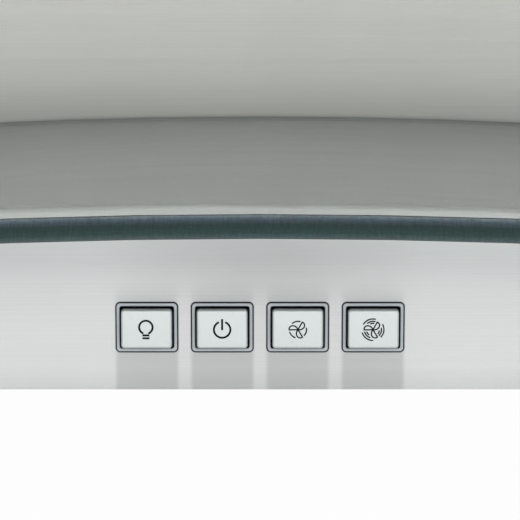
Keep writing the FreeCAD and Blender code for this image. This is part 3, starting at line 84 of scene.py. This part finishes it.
class Graph:
    """A node tree under construction. A value is a socket, a number or a tuple of numbers."""

    def __init__(self, tree):
        self.tree = tree
        tree.nodes.clear()

    def add(self, kind, **settings):
        node = self.tree.nodes.new(kind)
        for key, value in settings.items():
            setattr(node, key, value)
        return node

    def feed(self, socket, value):
        if isinstance(value, bpy.types.NodeSocket):
            self.tree.links.new(value, socket)
        else:
            socket.default_value = value

    def feed_all(self, node, *values):
        """Feeds the node's inputs in their order."""
        for socket, value in zip(node.inputs, values):
            self.feed(socket, value)

    def math(self, operation, *values):
        node = self.add("ShaderNodeMath", operation=operation)
        self.feed_all(node, *values)
        return node.outputs[0]

    def product(self, *factors):
        result = factors[0]
        for factor in factors[1:]:
            result = self.math("MULTIPLY", result, factor)
        return result

    def blend(self, one, other, share):
        """The mean of two values, where the first has the given share."""
        return self.math("ADD", self.product(one, share), self.product(other, 1 - share))

    def vector(self, operation, *values):
        node = self.add("ShaderNodeVectorMath", operation=operation)
        self.feed_all(node, *values)
        scalar = operation in ("DOT_PRODUCT", "LENGTH")
        return node.outputs["Value" if scalar else "Vector"]

    def split(self, vector):
        node = self.add("ShaderNodeSeparateXYZ")
        self.feed(node.inputs[0], vector)
        return node.outputs[0], node.outputs[1], node.outputs[2]

    def combine(self, x, y, z):
        node = self.add("ShaderNodeCombineXYZ")
        self.feed_all(node, x, y, z)
        return node.outputs[0]

    def between(self, value, low, high, to_low=0.0, to_high=1.0, **settings):
        """value mapped from low..high to to_low..to_high, clamped."""
        node = self.add("ShaderNodeMapRange", clamp=True, **settings)
        self.feed_all(node, value, low, high, to_low, to_high)
        return node.outputs[0]

    def fade(self, value, low, high, to_low, to_high):
        """As between, with soft ends."""
        return self.between(value, low, high, to_low, to_high, interpolation_type="SMOOTHSTEP")

    def mix_vector(self, factor, a, b):
        node = self.add("ShaderNodeMix", data_type="VECTOR")
        self.feed(node.inputs["Factor"], factor)
        self.feed(node.inputs[4], a)
        self.feed(node.inputs[5], b)
        return node.outputs[1]

    def mix_colour(self, factor, a, b):
        node = self.add("ShaderNodeMix", data_type="RGBA")
        self.feed(node.inputs["Factor"], factor)
        self.feed(node.inputs[6], a)
        self.feed(node.inputs[7], b)
        return node.outputs[2]

    def dim(self, colour, factor):
        """The colour times one number."""
        return self.vector("MULTIPLY", colour, self.combine(factor, factor, factor))

    def ramp(self, factor, stops):
        node = self.add("ShaderNodeValToRGB")
        elements = node.color_ramp.elements
        while len(elements) < len(stops):
            elements.new(0.5)
        for element, (position, colour) in zip(elements, stops):
            element.position = position
            element.color = (*colour, 1)
        self.feed(node.inputs[0], factor)
        return node.outputs[0]

    def noise(self, vector, scale=1.0, detail=2.0, roughness=0.5):
        node = self.add("ShaderNodeTexNoise")
        self.feed(node.inputs["Vector"], vector)
        for name, value in (("Scale", scale), ("Detail", detail), ("Roughness", roughness)):
            self.feed(node.inputs[name], value)
        return node.outputs["Fac"]

    def cell_edges(self, vector, scale):
        """The distance to the nearest edge of a pattern of cells."""
        node = self.add("ShaderNodeTexVoronoi", feature="DISTANCE_TO_EDGE")
        self.feed(node.inputs["Vector"], vector)
        self.feed(node.inputs["Scale"], scale)
        return node.outputs["Distance"]

    def bump(self, height, strength, distance):
        node = self.add("ShaderNodeBump")
        self.feed(node.inputs["Height"], height)
        self.feed(node.inputs["Strength"], strength)
        self.feed(node.inputs["Distance"], distance)
        return node.outputs[0]

    def place(self):
        """The point of the surface and its normal, both in the object's own frame."""
        node = self.add("ShaderNodeTexCoord")
        return node.outputs["Object"], node.outputs["Normal"]

    def principled(self, **values):
        node = self.add("ShaderNodeBsdfPrincipled")
        for name, value in values.items():
            self.feed(node.inputs[name.replace("_", " ")], value)
        return node.outputs[0]

    def transparent(self, colour):
        node = self.add("ShaderNodeBsdfTransparent")
        self.feed(node.inputs[0], colour)
        return node.outputs[0]

    def mix_shader(self, factor, a, b):
        node = self.add("ShaderNodeMixShader")
        self.feed_all(node, factor, a, b)
        return node.outputs[0]

    def show(self, shader):
        output = self.add("ShaderNodeOutputMaterial")
        self.feed(output.inputs["Surface"], shader)


def new_material(name):
    material = bpy.data.materials.new(name)
    material.use_nodes = True
    return material, Graph(material.node_tree)


# ---------------------------------------------------------------- brushed metal

STEEL_TINT = (0.985, 1.0, 1.0)
FLUE_TINT = (0.99, 1.0, 0.95)
NO_TINT = (1, 1, 1)
SMUDGE_COLOUR = (0.55, 0.56, 0.56, 1)
ALONG = 9.0  # brush lines per metre along the grain
ACROSS = 2600.0  # and across it
FACES_SIDEWAYS = 0.7  # faces whose normal has more of X than this are brushed along Y
BRUSH_DEPTH = 0.04 * MM
DARK_LINE = 0.075  # how much darker than the sheet its darkest lines are
LIGHT_LINE = 0.05


def tinted(level, tint):
    return (*(min(level, 1) * part for part in tint), 1)


def brushed_metal(
    name, level, roughness, anisotropy=0.9, tint=STEEL_TINT, lines=1.0, smudge=0.03, painted_shade=None
):
    """Sheet metal brushed level: fine lines across the sheet, which spread the gloss up and down.

    lines scales the brushing and smudge is the strength of the marks of handling.
    The painted shade argument (graph, point) gives how much of the metal shows through the painted shade
    that darkens its colour.
    """
    material, g = new_material(name)
    point, normal = g.place()
    side = g.math("GREATER_THAN", g.math("ABSOLUTE", g.split(normal)[0]), FACES_SIDEWAYS)
    grain = g.mix_vector(side, (ALONG, ACROSS, ACROSS), (ACROSS, ALONG, ACROSS))
    run = g.mix_vector(side, (1, 0, 0), (0, 1, 0))
    streaks = g.vector("MULTIPLY", point, grain)
    fine = g.noise(streaks, 1.0, 2.0, 0.6)
    broad = g.noise(streaks, 0.16, 3.0, 0.55)
    brushing = g.blend(fine, broad, 0.6)
    clouds = g.noise(point, 9.0, 3.0, 0.5)
    darker = tinted(level * (1 - DARK_LINE * lines), tint)
    lighter = tinted(level * (1 + LIGHT_LINE * lines), tint)
    base = g.mix_colour(g.between(brushing, 0.3, 0.7), darker, lighter)
    base = g.mix_colour(g.between(clouds, 0.35, 0.7, 0, smudge), base, SMUDGE_COLOUR)
    # Painted shade: the base colour is darkened where less light is meant to fall.
    if painted_shade:
        base = g.dim(base, painted_shade(g, point))
    rough_lines = g.between(brushing, 0.3, 0.7, roughness - 0.05, roughness + 0.05)
    rough_clouds = g.between(clouds, 0.3, 0.7, -0.02, 0.02)
    tangent = g.add(
        "ShaderNodeVectorTransform", vector_type="VECTOR", convert_from="OBJECT", convert_to="WORLD"
    )
    g.feed(tangent.inputs[0], g.vector("CROSS_PRODUCT", normal, run))
    g.show(
        g.principled(
            Base_Color=base,
            Metallic=1.0,
            Roughness=g.math("ADD", rough_lines, rough_clouds),
            Anisotropic=anisotropy,
            Tangent=tangent.outputs[0],
            Normal=g.bump(brushing, 0.12 * lines, BRUSH_DEPTH),
        )
    )
    return material


# Fades of painted shade and shadow on the steel: from one place to another, then how much of the steel
# shows at each.
# Painted shade: the panel darker toward its bottom edge.
FOOT_SHADE_FADE = (0.0, 9 * MM, 0.90, 1.0)
# Painted shadow: the panel darker high up, under the glass that overhangs it.
UNDER_GLASS_SHADOW_FADE = (34 * MM, 50 * MM, 1.0, 0.90)
# Painted dark reflection: the middle of the panel darker, more so high up, round the buttons.
MIDDLE_REFLECTION_FADE = (24 * MM, 36 * MM, 0.93, 0.85)
MIDDLE_REFLECTION_REACH = 65 * MM
# Painted shadow: a dark line in the gap round each button frame.
OUTLINE_SHADOW_FADE = (FRAME_CORNER + 0.3 * MM, FRAME_CORNER + 0.65 * MM, 0.06, 1.0)
# Painted shade: the flue darker toward its foot at the glass.
FLUE_FOOT_SHADE_FADE = (50 * MM, 86 * MM, 0.68, 1.0)

# Fades of the painted shade streaks above and below the frames, where the protruding buttons shade the
# brushed steel's reflection: from full to none.
STREAK_SIDES = (0.37, 0.45)  # shares of the pitch, from the middle of a frame
STREAK_ENDS = (49 * MM, 52 * MM)
STREAK_TOP = (22 * MM, 38 * MM)
STREAK_SHADE_DEPTH = 0.21


def streak(g, aside, off_centre, z):
    """How much of the steel shows in the soft streaks of painted shade, one a frame wide at each button.
    """
    column = g.fade(off_centre, *STREAK_SIDES, 1.0, 0.0)
    row = g.fade(aside, *STREAK_ENDS, 1.0, 0.0)
    height = g.fade(z, *STREAK_TOP, 1.0, 0.0)
    return g.math("SUBTRACT", 1.0, g.product(column, row, height, STREAK_SHADE_DEPTH))


def frame_shadow_line(g, aside, off_centre, z):
    """A painted shadow line in the gap round each button frame, which has round corners."""
    level = g.math("ABSOLUTE", g.math("SUBTRACT", z, BUTTON_HEIGHT))
    straight_half_width = FRAME_WIDTH / 2 - FRAME_CORNER
    straight_half_height = FRAME_HEIGHT / 2 - FRAME_CORNER
    beyond_x = g.math("SUBTRACT", g.product(off_centre, BUTTON_PITCH), straight_half_width)
    beyond_z = g.math("SUBTRACT", level, straight_half_height)
    beyond = g.combine(g.math("MAXIMUM", beyond_x, 0.0), 0.0, g.math("MAXIMUM", beyond_z, 0.0))
    line = g.fade(g.vector("LENGTH", beyond), *OUTLINE_SHADOW_FADE)
    beyond_row = g.math("GREATER_THAN", aside, BUTTON_ROW / 2)
    return g.math("MAXIMUM", line, beyond_row)


def panel_painted_shade(g, point):
    """The front's painted shade: darker low down, a painted shadow under the glass, a painted dark
    reflection round the buttons, a painted shade streak at each frame and a painted shadow line round each
    frame.
    """
    x, _, z = g.split(point)
    aside = g.math("ABSOLUTE", x)
    in_pitch = g.math("FRACT", g.math("DIVIDE", x, BUTTON_PITCH))
    off_centre = g.math("ABSOLUTE", g.math("SUBTRACT", in_pitch, 0.5))
    # Painted dark reflection in the middle of the upper panel.
    middle_reflection = g.fade(aside, 0.0, MIDDLE_REFLECTION_REACH, g.fade(z, *MIDDLE_REFLECTION_FADE), 1.0)
    return g.product(
        g.fade(z, *FOOT_SHADE_FADE),
        g.fade(z, *UNDER_GLASS_SHADOW_FADE),
        middle_reflection,
        streak(g, aside, off_centre, z),
        frame_shadow_line(g, aside, off_centre, z),
    )


def flue_painted_shade(g, point):
    """The flue: painted shade, darker toward where it rises from the glass."""
    return g.fade(g.split(point)[2], *FLUE_FOOT_SHADE_FADE)


# ---------------------------------------------------------------- mouldings, glass and chrome

# Painted shade: near black where a surface lies in a recess.
RECESS_SHADE_COLOUR = (0.006, 0.006, 0.007, 1)
SKIN_DEPTH = 0.03 * MM


def shade_behind(start, end):
    """Painted shade in a recess: darker between two depths, measured inward from the panel's front."""

    def recess_shade(g, point):
        return g.between(g.split(point)[1], PANEL_FRONT + start, PANEL_FRONT + end)

    return recess_shade


def plastic(
    name,
    colour,
    roughness,
    grain=900.0,
    depth=0.25,
    variation=0.06,
    metallic=0.0,
    coat=0.0,
    gloss=0.5,
    recess_shade=None,
):
    """A moulding or a paint: a finely grained skin with slight uneven colour.

    The recess shade argument (graph, point) is 1 where the surface lies in a recess under painted shade
    and 0 outside it.
    """
    material, g = new_material(name)
    point, _ = g.place()
    skin = g.noise(point, grain, 3.0, 0.6)
    clouds = g.noise(point, 60.0, 2.0, 0.5)
    darker = tinted(1 - variation, colour)
    lighter = (*(min(part * (1 + variation), 1) for part in colour), 1)
    base = g.mix_colour(g.between(g.blend(skin, clouds, 0.5), 0.35, 0.65), darker, lighter)
    # Painted shade: the colour goes near black in the recess.
    if recess_shade:
        base = g.mix_colour(recess_shade(g, point), base, RECESS_SHADE_COLOUR)
    g.show(
        g.principled(
            Base_Color=base,
            Metallic=metallic,
            Roughness=g.between(clouds, 0.3, 0.7, roughness - 0.04, roughness + 0.04),
            Specular_IOR_Level=gloss,
            Coat_Weight=coat,
            Normal=g.bump(skin, depth, SKIN_DEPTH),
        )
    )
    return material


def circuit_board():
    """Green solder resist with lighter tracks under it."""
    material, g = new_material("board_resist")
    point, _ = g.place()
    line = g.between(g.cell_edges(point, 320.0), 0.02, 0.07, 1, 0)
    g.show(
        g.principled(
            Base_Color=g.mix_colour(line, (0.02, 0.13, 0.06, 1), (0.05, 0.26, 0.12, 1)),
            Roughness=g.between(line, 0, 1, 0.3, 0.4),
            Normal=g.bump(line, 0.3, SKIN_DEPTH),
        )
    )
    return material


GLASS_IOR = 1.5
SHADOW_TINT = (0.82, 0.90, 0.88, 1)
EDGE_FACING = (0.90, 0.995)  # a face is the sheet's where its normal is this near the arch's radius

# Colours of the ground edge, from its under arris to its upper one: dark teal in the middle, lighter at
# the under arris as a painted reflection and blue-grey toward the upper arris as a painted highlight.
EDGE_COLOURS_AND_PAINTED_LIGHT = (
    (0.0, (0.094, 0.129, 0.129)),
    (0.16, (0.068, 0.108, 0.108)),
    (0.32, (0.030, 0.062, 0.058)),
    (0.50, (0.021, 0.046, 0.045)),
    (0.65, (0.024, 0.043, 0.043)),
    (0.80, (0.057, 0.083, 0.100)),
    (0.89, (0.114, 0.153, 0.176)),
    (0.96, (0.210, 0.267, 0.292)),
    (1.0, (0.317, 0.373, 0.385)),
)


def sheet_glass(g, point):
    """Faintly green clear glass, which lets most of the light through in its shadow."""
    waver = g.noise(point, 2.0, 2.0, 0.5)
    glass = g.principled(
        Base_Color=g.mix_colour(waver, (0.90, 0.955, 0.94, 1), (0.92, 0.965, 0.95, 1)),
        Roughness=g.between(waver, 0.3, 0.7, 0.0, 0.01),
        IOR=GLASS_IOR,
        Transmission_Weight=1.0,
    )
    shadow = g.add("ShaderNodeLightPath").outputs["Is Shadow Ray"]
    return g.mix_shader(shadow, glass, g.transparent(SHADOW_TINT))


def ground_edge(g, point, depth):
    """The matt edge: dark teal in the middle, with a painted reflection at its under arris and a painted
    highlight making it paler toward its upper arris, and mottled.
    """
    upright = g.noise(g.vector("MULTIPLY", point, (1500, 400, 260)), 1.0, 2.0, 0.6)
    level = g.noise(g.vector("MULTIPLY", point, (300, 300, 2400)), 1.0, 3.0, 0.6)
    mottle = g.blend(upright, level, 0.5)
    # The ramp holds the edge's own dark teal and its painted highlight and painted reflection at the
    # arrises.
    body = g.ramp(g.between(depth, 0.0, GLASS_THICKNESS), EDGE_COLOURS_AND_PAINTED_LIGHT)
    return g.principled(
        Base_Color=g.dim(body, g.between(mottle, 0.3, 0.7, 0.66, 1.34)),
        Roughness=g.between(mottle, 0.3, 0.7, 0.36, 0.52),
        IOR=GLASS_IOR,
        Specular_IOR_Level=0.15,
        Normal=g.bump(mottle, 0.2, 0.04 * MM),
    )


def canopy_glass():
    """The canopy: clear on the sheet's two faces and ground on its edges."""
    material, g = new_material("canopy_glass")
    point, normal = g.place()
    x, _, z = g.split(point)
    from_centre = g.combine(x, 0.0, g.math("SUBTRACT", z, ARCH_CENTRE_Z))
    radial = g.vector("NORMALIZE", from_centre)
    facing = g.math("ABSOLUTE", g.vector("DOT_PRODUCT", radial, normal))
    depth = g.math("SUBTRACT", g.vector("LENGTH", from_centre), ARCH_RADIUS)
    edge = g.between(facing, *EDGE_FACING, 1, 0)
    g.show(g.mix_shader(edge, sheet_glass(g, point), ground_edge(g, point, depth)))
    return material


def frosted_lens():
    material, g = new_material("lens_glass")
    point, _ = g.place()
    frost = g.noise(point, 1400.0, 3.0, 0.6)
    g.show(
        g.principled(
            Base_Color=g.mix_colour(frost, (0.90, 0.91, 0.90, 1), (0.96, 0.96, 0.95, 1)),
            Roughness=g.between(frost, 0.3, 0.7, 0.35, 0.5),
            Transmission_Weight=0.55,
            Normal=g.bump(frost, 0.3, 0.05 * MM),
        )
    )
    return material


def chrome(name, roughness):
    material, g = new_material(name)
    point, _ = g.place()
    scuffs = g.noise(g.vector("MULTIPLY", point, (90, 900, 300)), 1.0, 3.0, 0.6)
    g.show(
        g.principled(
            Base_Color=g.mix_colour(scuffs, (0.74, 0.75, 0.76, 1), (0.84, 0.85, 0.86, 1)),
            Metallic=1.0,
            Roughness=g.between(scuffs, 0.3, 0.7, roughness, roughness + 0.08),
            Normal=g.bump(scuffs, 0.05, SKIN_DEPTH),
        )
    )
    return material


# ---------------------------------------------------------------- finishes of the CAD pieces

FINISHES = {
    "steel": brushed_metal("brushed_steel", 0.76, 0.52),
    "inner_steel": brushed_metal("satin_sheet", 0.64, 0.45, 0.75, lines=0.8, smudge=0.08),
    "aluminium": brushed_metal("mill_aluminium", 0.78, 0.4, 0.5, NO_TINT, lines=0.7, smudge=0.06),
    "deck_coat": plastic("deck_paint", (0.05, 0.051, 0.049), 0.5, 500.0, 0.3, gloss=0.1),
    "motor": plastic("motor_paint", (0.17, 0.18, 0.19), 0.42, 260.0, 0.35, variation=0.1, coat=0.2),
    "rubber": plastic("black_rubber", (0.03, 0.03, 0.03), 0.75, 700.0, 0.5),
    "moulding": plastic("moulded_black", (0.035, 0.035, 0.037), 0.5, depth=0.4, variation=0.15),
    "button_frame": plastic(
        "frame_plastic",
        (0.53, 0.58, 0.61),
        0.34,
        1500.0,
        depth=0.12,
        variation=0.05,
        gloss=0.35,
        # Painted shade on the frame's sleeve, behind its front.
        recess_shade=shade_behind(-0.32 * MM, -0.12 * MM),
    ),
    "button": plastic(
        "button_silver",
        (0.50, 0.535, 0.53),
        0.30,
        1800.0,
        depth=0.10,
        variation=0.03,
        metallic=0.75,
        # Painted shade on the cap's sides, inside the frame.
        recess_shade=shade_behind(-0.9 * MM, -0.4 * MM),
    ),
    "board": circuit_board(),
    "glass": canopy_glass(),
    "lens": frosted_lens(),
    "screw": chrome("bright_screw", 0.2),
    "chrome": chrome("polished_chrome", 0.08),
}
NODE_FINISHES = {
    # The front panel and the lower flue get painted shade in their base colour.
    "front_panel": brushed_metal("panel_steel", 0.78, 0.52, painted_shade=panel_painted_shade),
    "lower_flue": brushed_metal("flue_steel", 0.80, 0.52, tint=FLUE_TINT, painted_shade=flue_painted_shade),
    "upper_flue": brushed_metal("upper_flue_steel", 0.80, 0.52, tint=FLUE_TINT),
}
ICON_INK = plastic("icon_ink", (0.006, 0.006, 0.008), 0.5, 1200.0, 0.1, variation=0.2, gloss=0.1)


def dress_nodes():
    """Gives each node the finish of its slot, or its own finish where it has one."""
    slots = {entry["slot"] for entry in frame["record"]["materials"]}
    for name, node in frame["nodes"].items():
        for holder in node.material_slots:
            slot = holder.material.name.split(".")[0]
            if slot in slots:
                holder.material = NODE_FINISHES.get(name, FINISHES[slot])


# ---------------------------------------------------------------- button icons

# Points of the icons are (x, z) in the panel's plane, in millimetres; each icon is printed
# a little off the middle of its cap.
ICON_Z = 21.5
ICON_X = {"light": -37.70, "power": -12.51, "low": 12.54, "high": 37.30}
THICK_INK = 0.68
THIN_INK = 0.46
INK_FRONT = CAP_FACE - 0.03 * MM  # the ink stands a hair proud of the caps
INK_BACK = CAP_FACE + 0.05 * MM
MITRE_LIMIT = 0.5


def arc(centre, radius, start, end, steps=24):
    """Points of an arc from start to end, in degrees."""
    x, z = centre
    points = []
    for step in range(steps + 1):
        angle = math.radians(start + (end - start) * step / steps)
        points.append((x + radius * math.cos(angle), z + radius * math.sin(angle)))
    return points


def turned(points, centre, angle):
    """Points set on the centre and turned about it by an angle in degrees."""
    turn = math.radians(angle)
    cosine, sine = math.cos(turn), math.sin(turn)
    x, z = centre
    return [(x + px * cosine - pz * sine, z + px * sine + pz * cosine) for px, pz in points]


def stroke(mesh, points, width, closed=False):
    """Adds a flat line of even width along the points."""
    path = [Vector((x, z)) for x, z in points]
    count = len(path)
    rings = []
    for i, here in enumerate(path):
        before = path[i - 1] if i or closed else here
        after = path[(i + 1) % count] if i + 1 < count or closed else here
        arriving = (here - before).normalized()
        toward = (arriving + (after - here).normalized()).normalized()
        cosine = max(abs(toward.dot(arriving)), MITRE_LIMIT) if arriving.length else 1
        across = Vector((-toward.y, toward.x)) * width / 2 / cosine
        left, right = (here - across) * MM, (here + across) * MM
        corners = ((left, INK_FRONT), (right, INK_FRONT), (right, INK_BACK), (left, INK_BACK))
        rings.append([mesh.verts.new((corner.x, y, corner.y)) for corner, y in corners])
    spans = list(zip(rings, rings[1:])) + ([(rings[-1], rings[0])] if closed else [])
    for one, other in spans:
        for a in range(4):
            b = (a + 1) % 4
            mesh.faces.new((one[a], one[b], other[b], other[a]))
    if not closed:
        mesh.faces.new(rings[0])
        mesh.faces.new(tuple(reversed(rings[-1])))


def print_icon(name, mesh, body):
    """Makes a drawn icon a piece of ink on its button."""
    bmesh.ops.recalc_face_normals(mesh, faces=mesh.faces)
    data = bpy.data.meshes.new(name)
    mesh.to_mesh(data)
    mesh.free()
    data.materials.append(ICON_INK)
    piece = bpy.data.objects.new(name, data)
    bpy.context.scene.collection.objects.link(piece)
    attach(piece, body)


def fan_blade():
    """A blade's outline from the hub: a straight side out, a round end and a full side back."""
    hub, tip, *swell = (
        Vector(point) for point in ((0, 0), (2.9, 0.05), (3.15, -1.25), (1.6, -1.95), (0.45, -1.2))
    )
    side_points, bow_points = 4, 14
    outline = [hub.lerp(tip, step / side_points) for step in range(side_points)]
    controls = (tip, *swell, hub)
    degree = len(controls) - 1
    for step in range(bow_points):
        t = step / bow_points
        point = Vector((0, 0))
        for i, control in enumerate(controls):
            point += control * math.comb(degree, i) * t**i * (1 - t) ** (degree - i)
        outline.append(point)
    return [tuple(point) for point in outline]


def bulb_icon():
    """A lamp: a round bulb with a short neck, over two bars."""
    mesh = bmesh.new()
    x, z = ICON_X["light"], ICON_Z + 0.80
    bulb = arc((x, z), 2.22, -60, 240, 36)
    neck = bulb[-1][1] - 0.35
    stroke(mesh, [(bulb[0][0], neck), *bulb, (bulb[-1][0], neck)], THICK_INK)
    for drop in (1.93, 2.90):
        stroke(mesh, [(x - 1.15, ICON_Z - drop), (x + 1.15, ICON_Z - drop)], THICK_INK)
    print_icon("icon_light", mesh, "light_button")


def power_icon():
    """A ring open at the top, with a bar in the gap."""
    mesh = bmesh.new()
    x = ICON_X["power"]
    stroke(mesh, arc((x, ICON_Z), 2.72, 112, 428, 40), THICK_INK)
    stroke(mesh, [(x, ICON_Z + 3.6), (x, ICON_Z - 0.15)], THICK_INK)
    print_icon("icon_power", mesh, "power_button")


def fan_icon(level, arcs):
    """Three blades, and outside each of them arcs with their radius, start and end."""
    mesh = bmesh.new()
    centre = (ICON_X[level], ICON_Z)
    for turn in (0, 120, 240):
        stroke(mesh, turned(fan_blade(), centre, 180 + turn), THIN_INK, closed=True)
        for radius, start, end in arcs:
            stroke(mesh, arc(centre, radius, start + turn, end + turn, 12), THIN_INK)
    print_icon(f"icon_{level}", mesh, f"{level}_button")


# ---------------------------------------------------------------- latch springs


def latch_springs():
    """Each spring becomes its own copy that rides with its filter, and the CAD spring is hidden."""
    for side in ("left", "right"):
        node = "latch_spring_" + side
        piece = bpy.data.objects.new("spring_" + side, frame["nodes"][node].data.copy())
        bpy.context.scene.collection.objects.link(piece)
        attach(piece, "filter_" + side)
        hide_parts(node)
        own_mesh(piece)


# ---------------------------------------------------------------- studio

FLOOR_Z = -0.35
FLOOR_REACH = 14
FLOOR_GLOW = 0.97  # the rest of what the camera sees of the floor is its shading

# Fades of the room's light: from one place to another, then its level at each. The places are
# sines of the elevation; the front sector is in radians to each side of straight ahead.
CEILING_FADE = (0.15, 0.8, 1.0, 0.4)
FRONT_FADE = (0.02, 0.3, 0.95, 0.4)
FRONT_SECTOR = (0.35, 0.70)


def studio_floor():
    """A pale floor that reads white, keeps the hood's shadow and is open from below."""
    mesh = bmesh.new()
    corners = ((-1, -1), (1, -1), (1, 1), (-1, 1))
    mesh.faces.new([mesh.verts.new((x * FLOOR_REACH, y * FLOOR_REACH, FLOOR_Z)) for x, y in corners])
    data = bpy.data.meshes.new("floor")
    mesh.to_mesh(data)
    mesh.free()
    floor = bpy.data.objects.new("floor", data)
    bpy.context.scene.collection.objects.link(floor)
    material, g = new_material("floor_white")
    rays = g.add("ShaderNodeLightPath").outputs
    point, _ = g.place()
    plain = g.add("ShaderNodeBsdfDiffuse")
    pale = g.mix_colour(g.noise(point, 3.0), (0.80, 0.80, 0.80, 1), (0.83, 0.83, 0.83, 1))
    g.feed(plain.inputs[0], pale)
    glow = g.add("ShaderNodeEmission")
    g.feed(glow.inputs["Strength"], 1.0)
    seen = g.math("MAXIMUM", rays["Is Camera Ray"], rays["Is Transmission Ray"])
    seen = g.math("MAXIMUM", seen, rays["Is Glossy Ray"])
    lit = g.mix_shader(g.product(seen, FLOOR_GLOW), plain.outputs[0], glow.outputs[0])
    under = g.add("ShaderNodeNewGeometry").outputs["Backfacing"]
    g.show(g.mix_shader(under, lit, g.transparent((1, 1, 1, 1))))
    data.materials.append(material)


def white_world():
    """White to the camera; the light dims toward the ceiling and in a sector ahead of the hood."""
    world = bpy.data.worlds.new("studio")
    bpy.context.scene.world = world
    world.use_nodes = True
    g = Graph(world.node_tree)
    rays = g.add("ShaderNodeLightPath").outputs
    x, y, rise = g.split(g.add("ShaderNodeTexCoord").outputs["Generated"])
    turn = g.math("ARCTAN2", g.math("ABSOLUTE", x), g.product(y, -1.0))
    front = g.fade(turn, *FRONT_SECTOR, g.between(rise, *FRONT_FADE), 1.0)
    room = g.product(front, g.between(rise, *CEILING_FADE))
    background = g.add("ShaderNodeBackground")
    g.feed(background.inputs["Color"], (1, 1, 1, 1))
    g.feed(background.inputs["Strength"], g.math("MAXIMUM", room, rays["Is Camera Ray"]))
    output = g.add("ShaderNodeOutputWorld")
    g.feed(output.inputs["Surface"], background.outputs[0])


def softbox(name, place, target, size, power):
    """A rectangular area lamp that faces its target and isn't seen by the camera."""
    data = bpy.data.lights.new(name, "AREA")
    data.shape = "RECTANGLE"
    data.size, data.size_y = size
    data.energy = power
    lamp = bpy.data.objects.new(name, data)
    lamp.location = place
    facing = Vector(target) - Vector(place)
    lamp.rotation_euler = facing.to_track_quat("-Z", "Y").to_euler()
    lamp.visible_camera = False
    bpy.context.scene.collection.objects.link(lamp)


def photo_camera():
    data = bpy.data.cameras.new("photo_camera")
    data.lens = CAMERA_LENS
    data.sensor_width = SENSOR_WIDTH
    data.clip_start = 0.005
    data.clip_end = 100
    camera = bpy.data.objects.new("photo_camera", data)
    camera.location = CAMERA_PLACE
    camera.rotation_euler = (math.pi / 2 - CAMERA_PITCH, 0, 0)
    bpy.context.scene.collection.objects.link(camera)
    bpy.context.scene.camera = camera


photo_camera()
dress_nodes()
bulb_icon()
power_icon()
fan_icon("low", [(2.83, 73, 134)])
fan_icon("high", [(2.15, 77, 115), (2.83, 73, 133), (3.64, 75, 151)])
latch_springs()
studio_floor()
white_world()
softbox("key", place=(0.3, -2.5, 1.45), target=(0, -0.4, 0.02), size=(2.6, 1.1), power=14)
softbox("fill", place=(0, -2.4, -0.12), target=(0, -0.46, 0.03), size=(2.6, 0.4), power=7)
bpy.context.scene.view_settings.view_transform = "Standard"
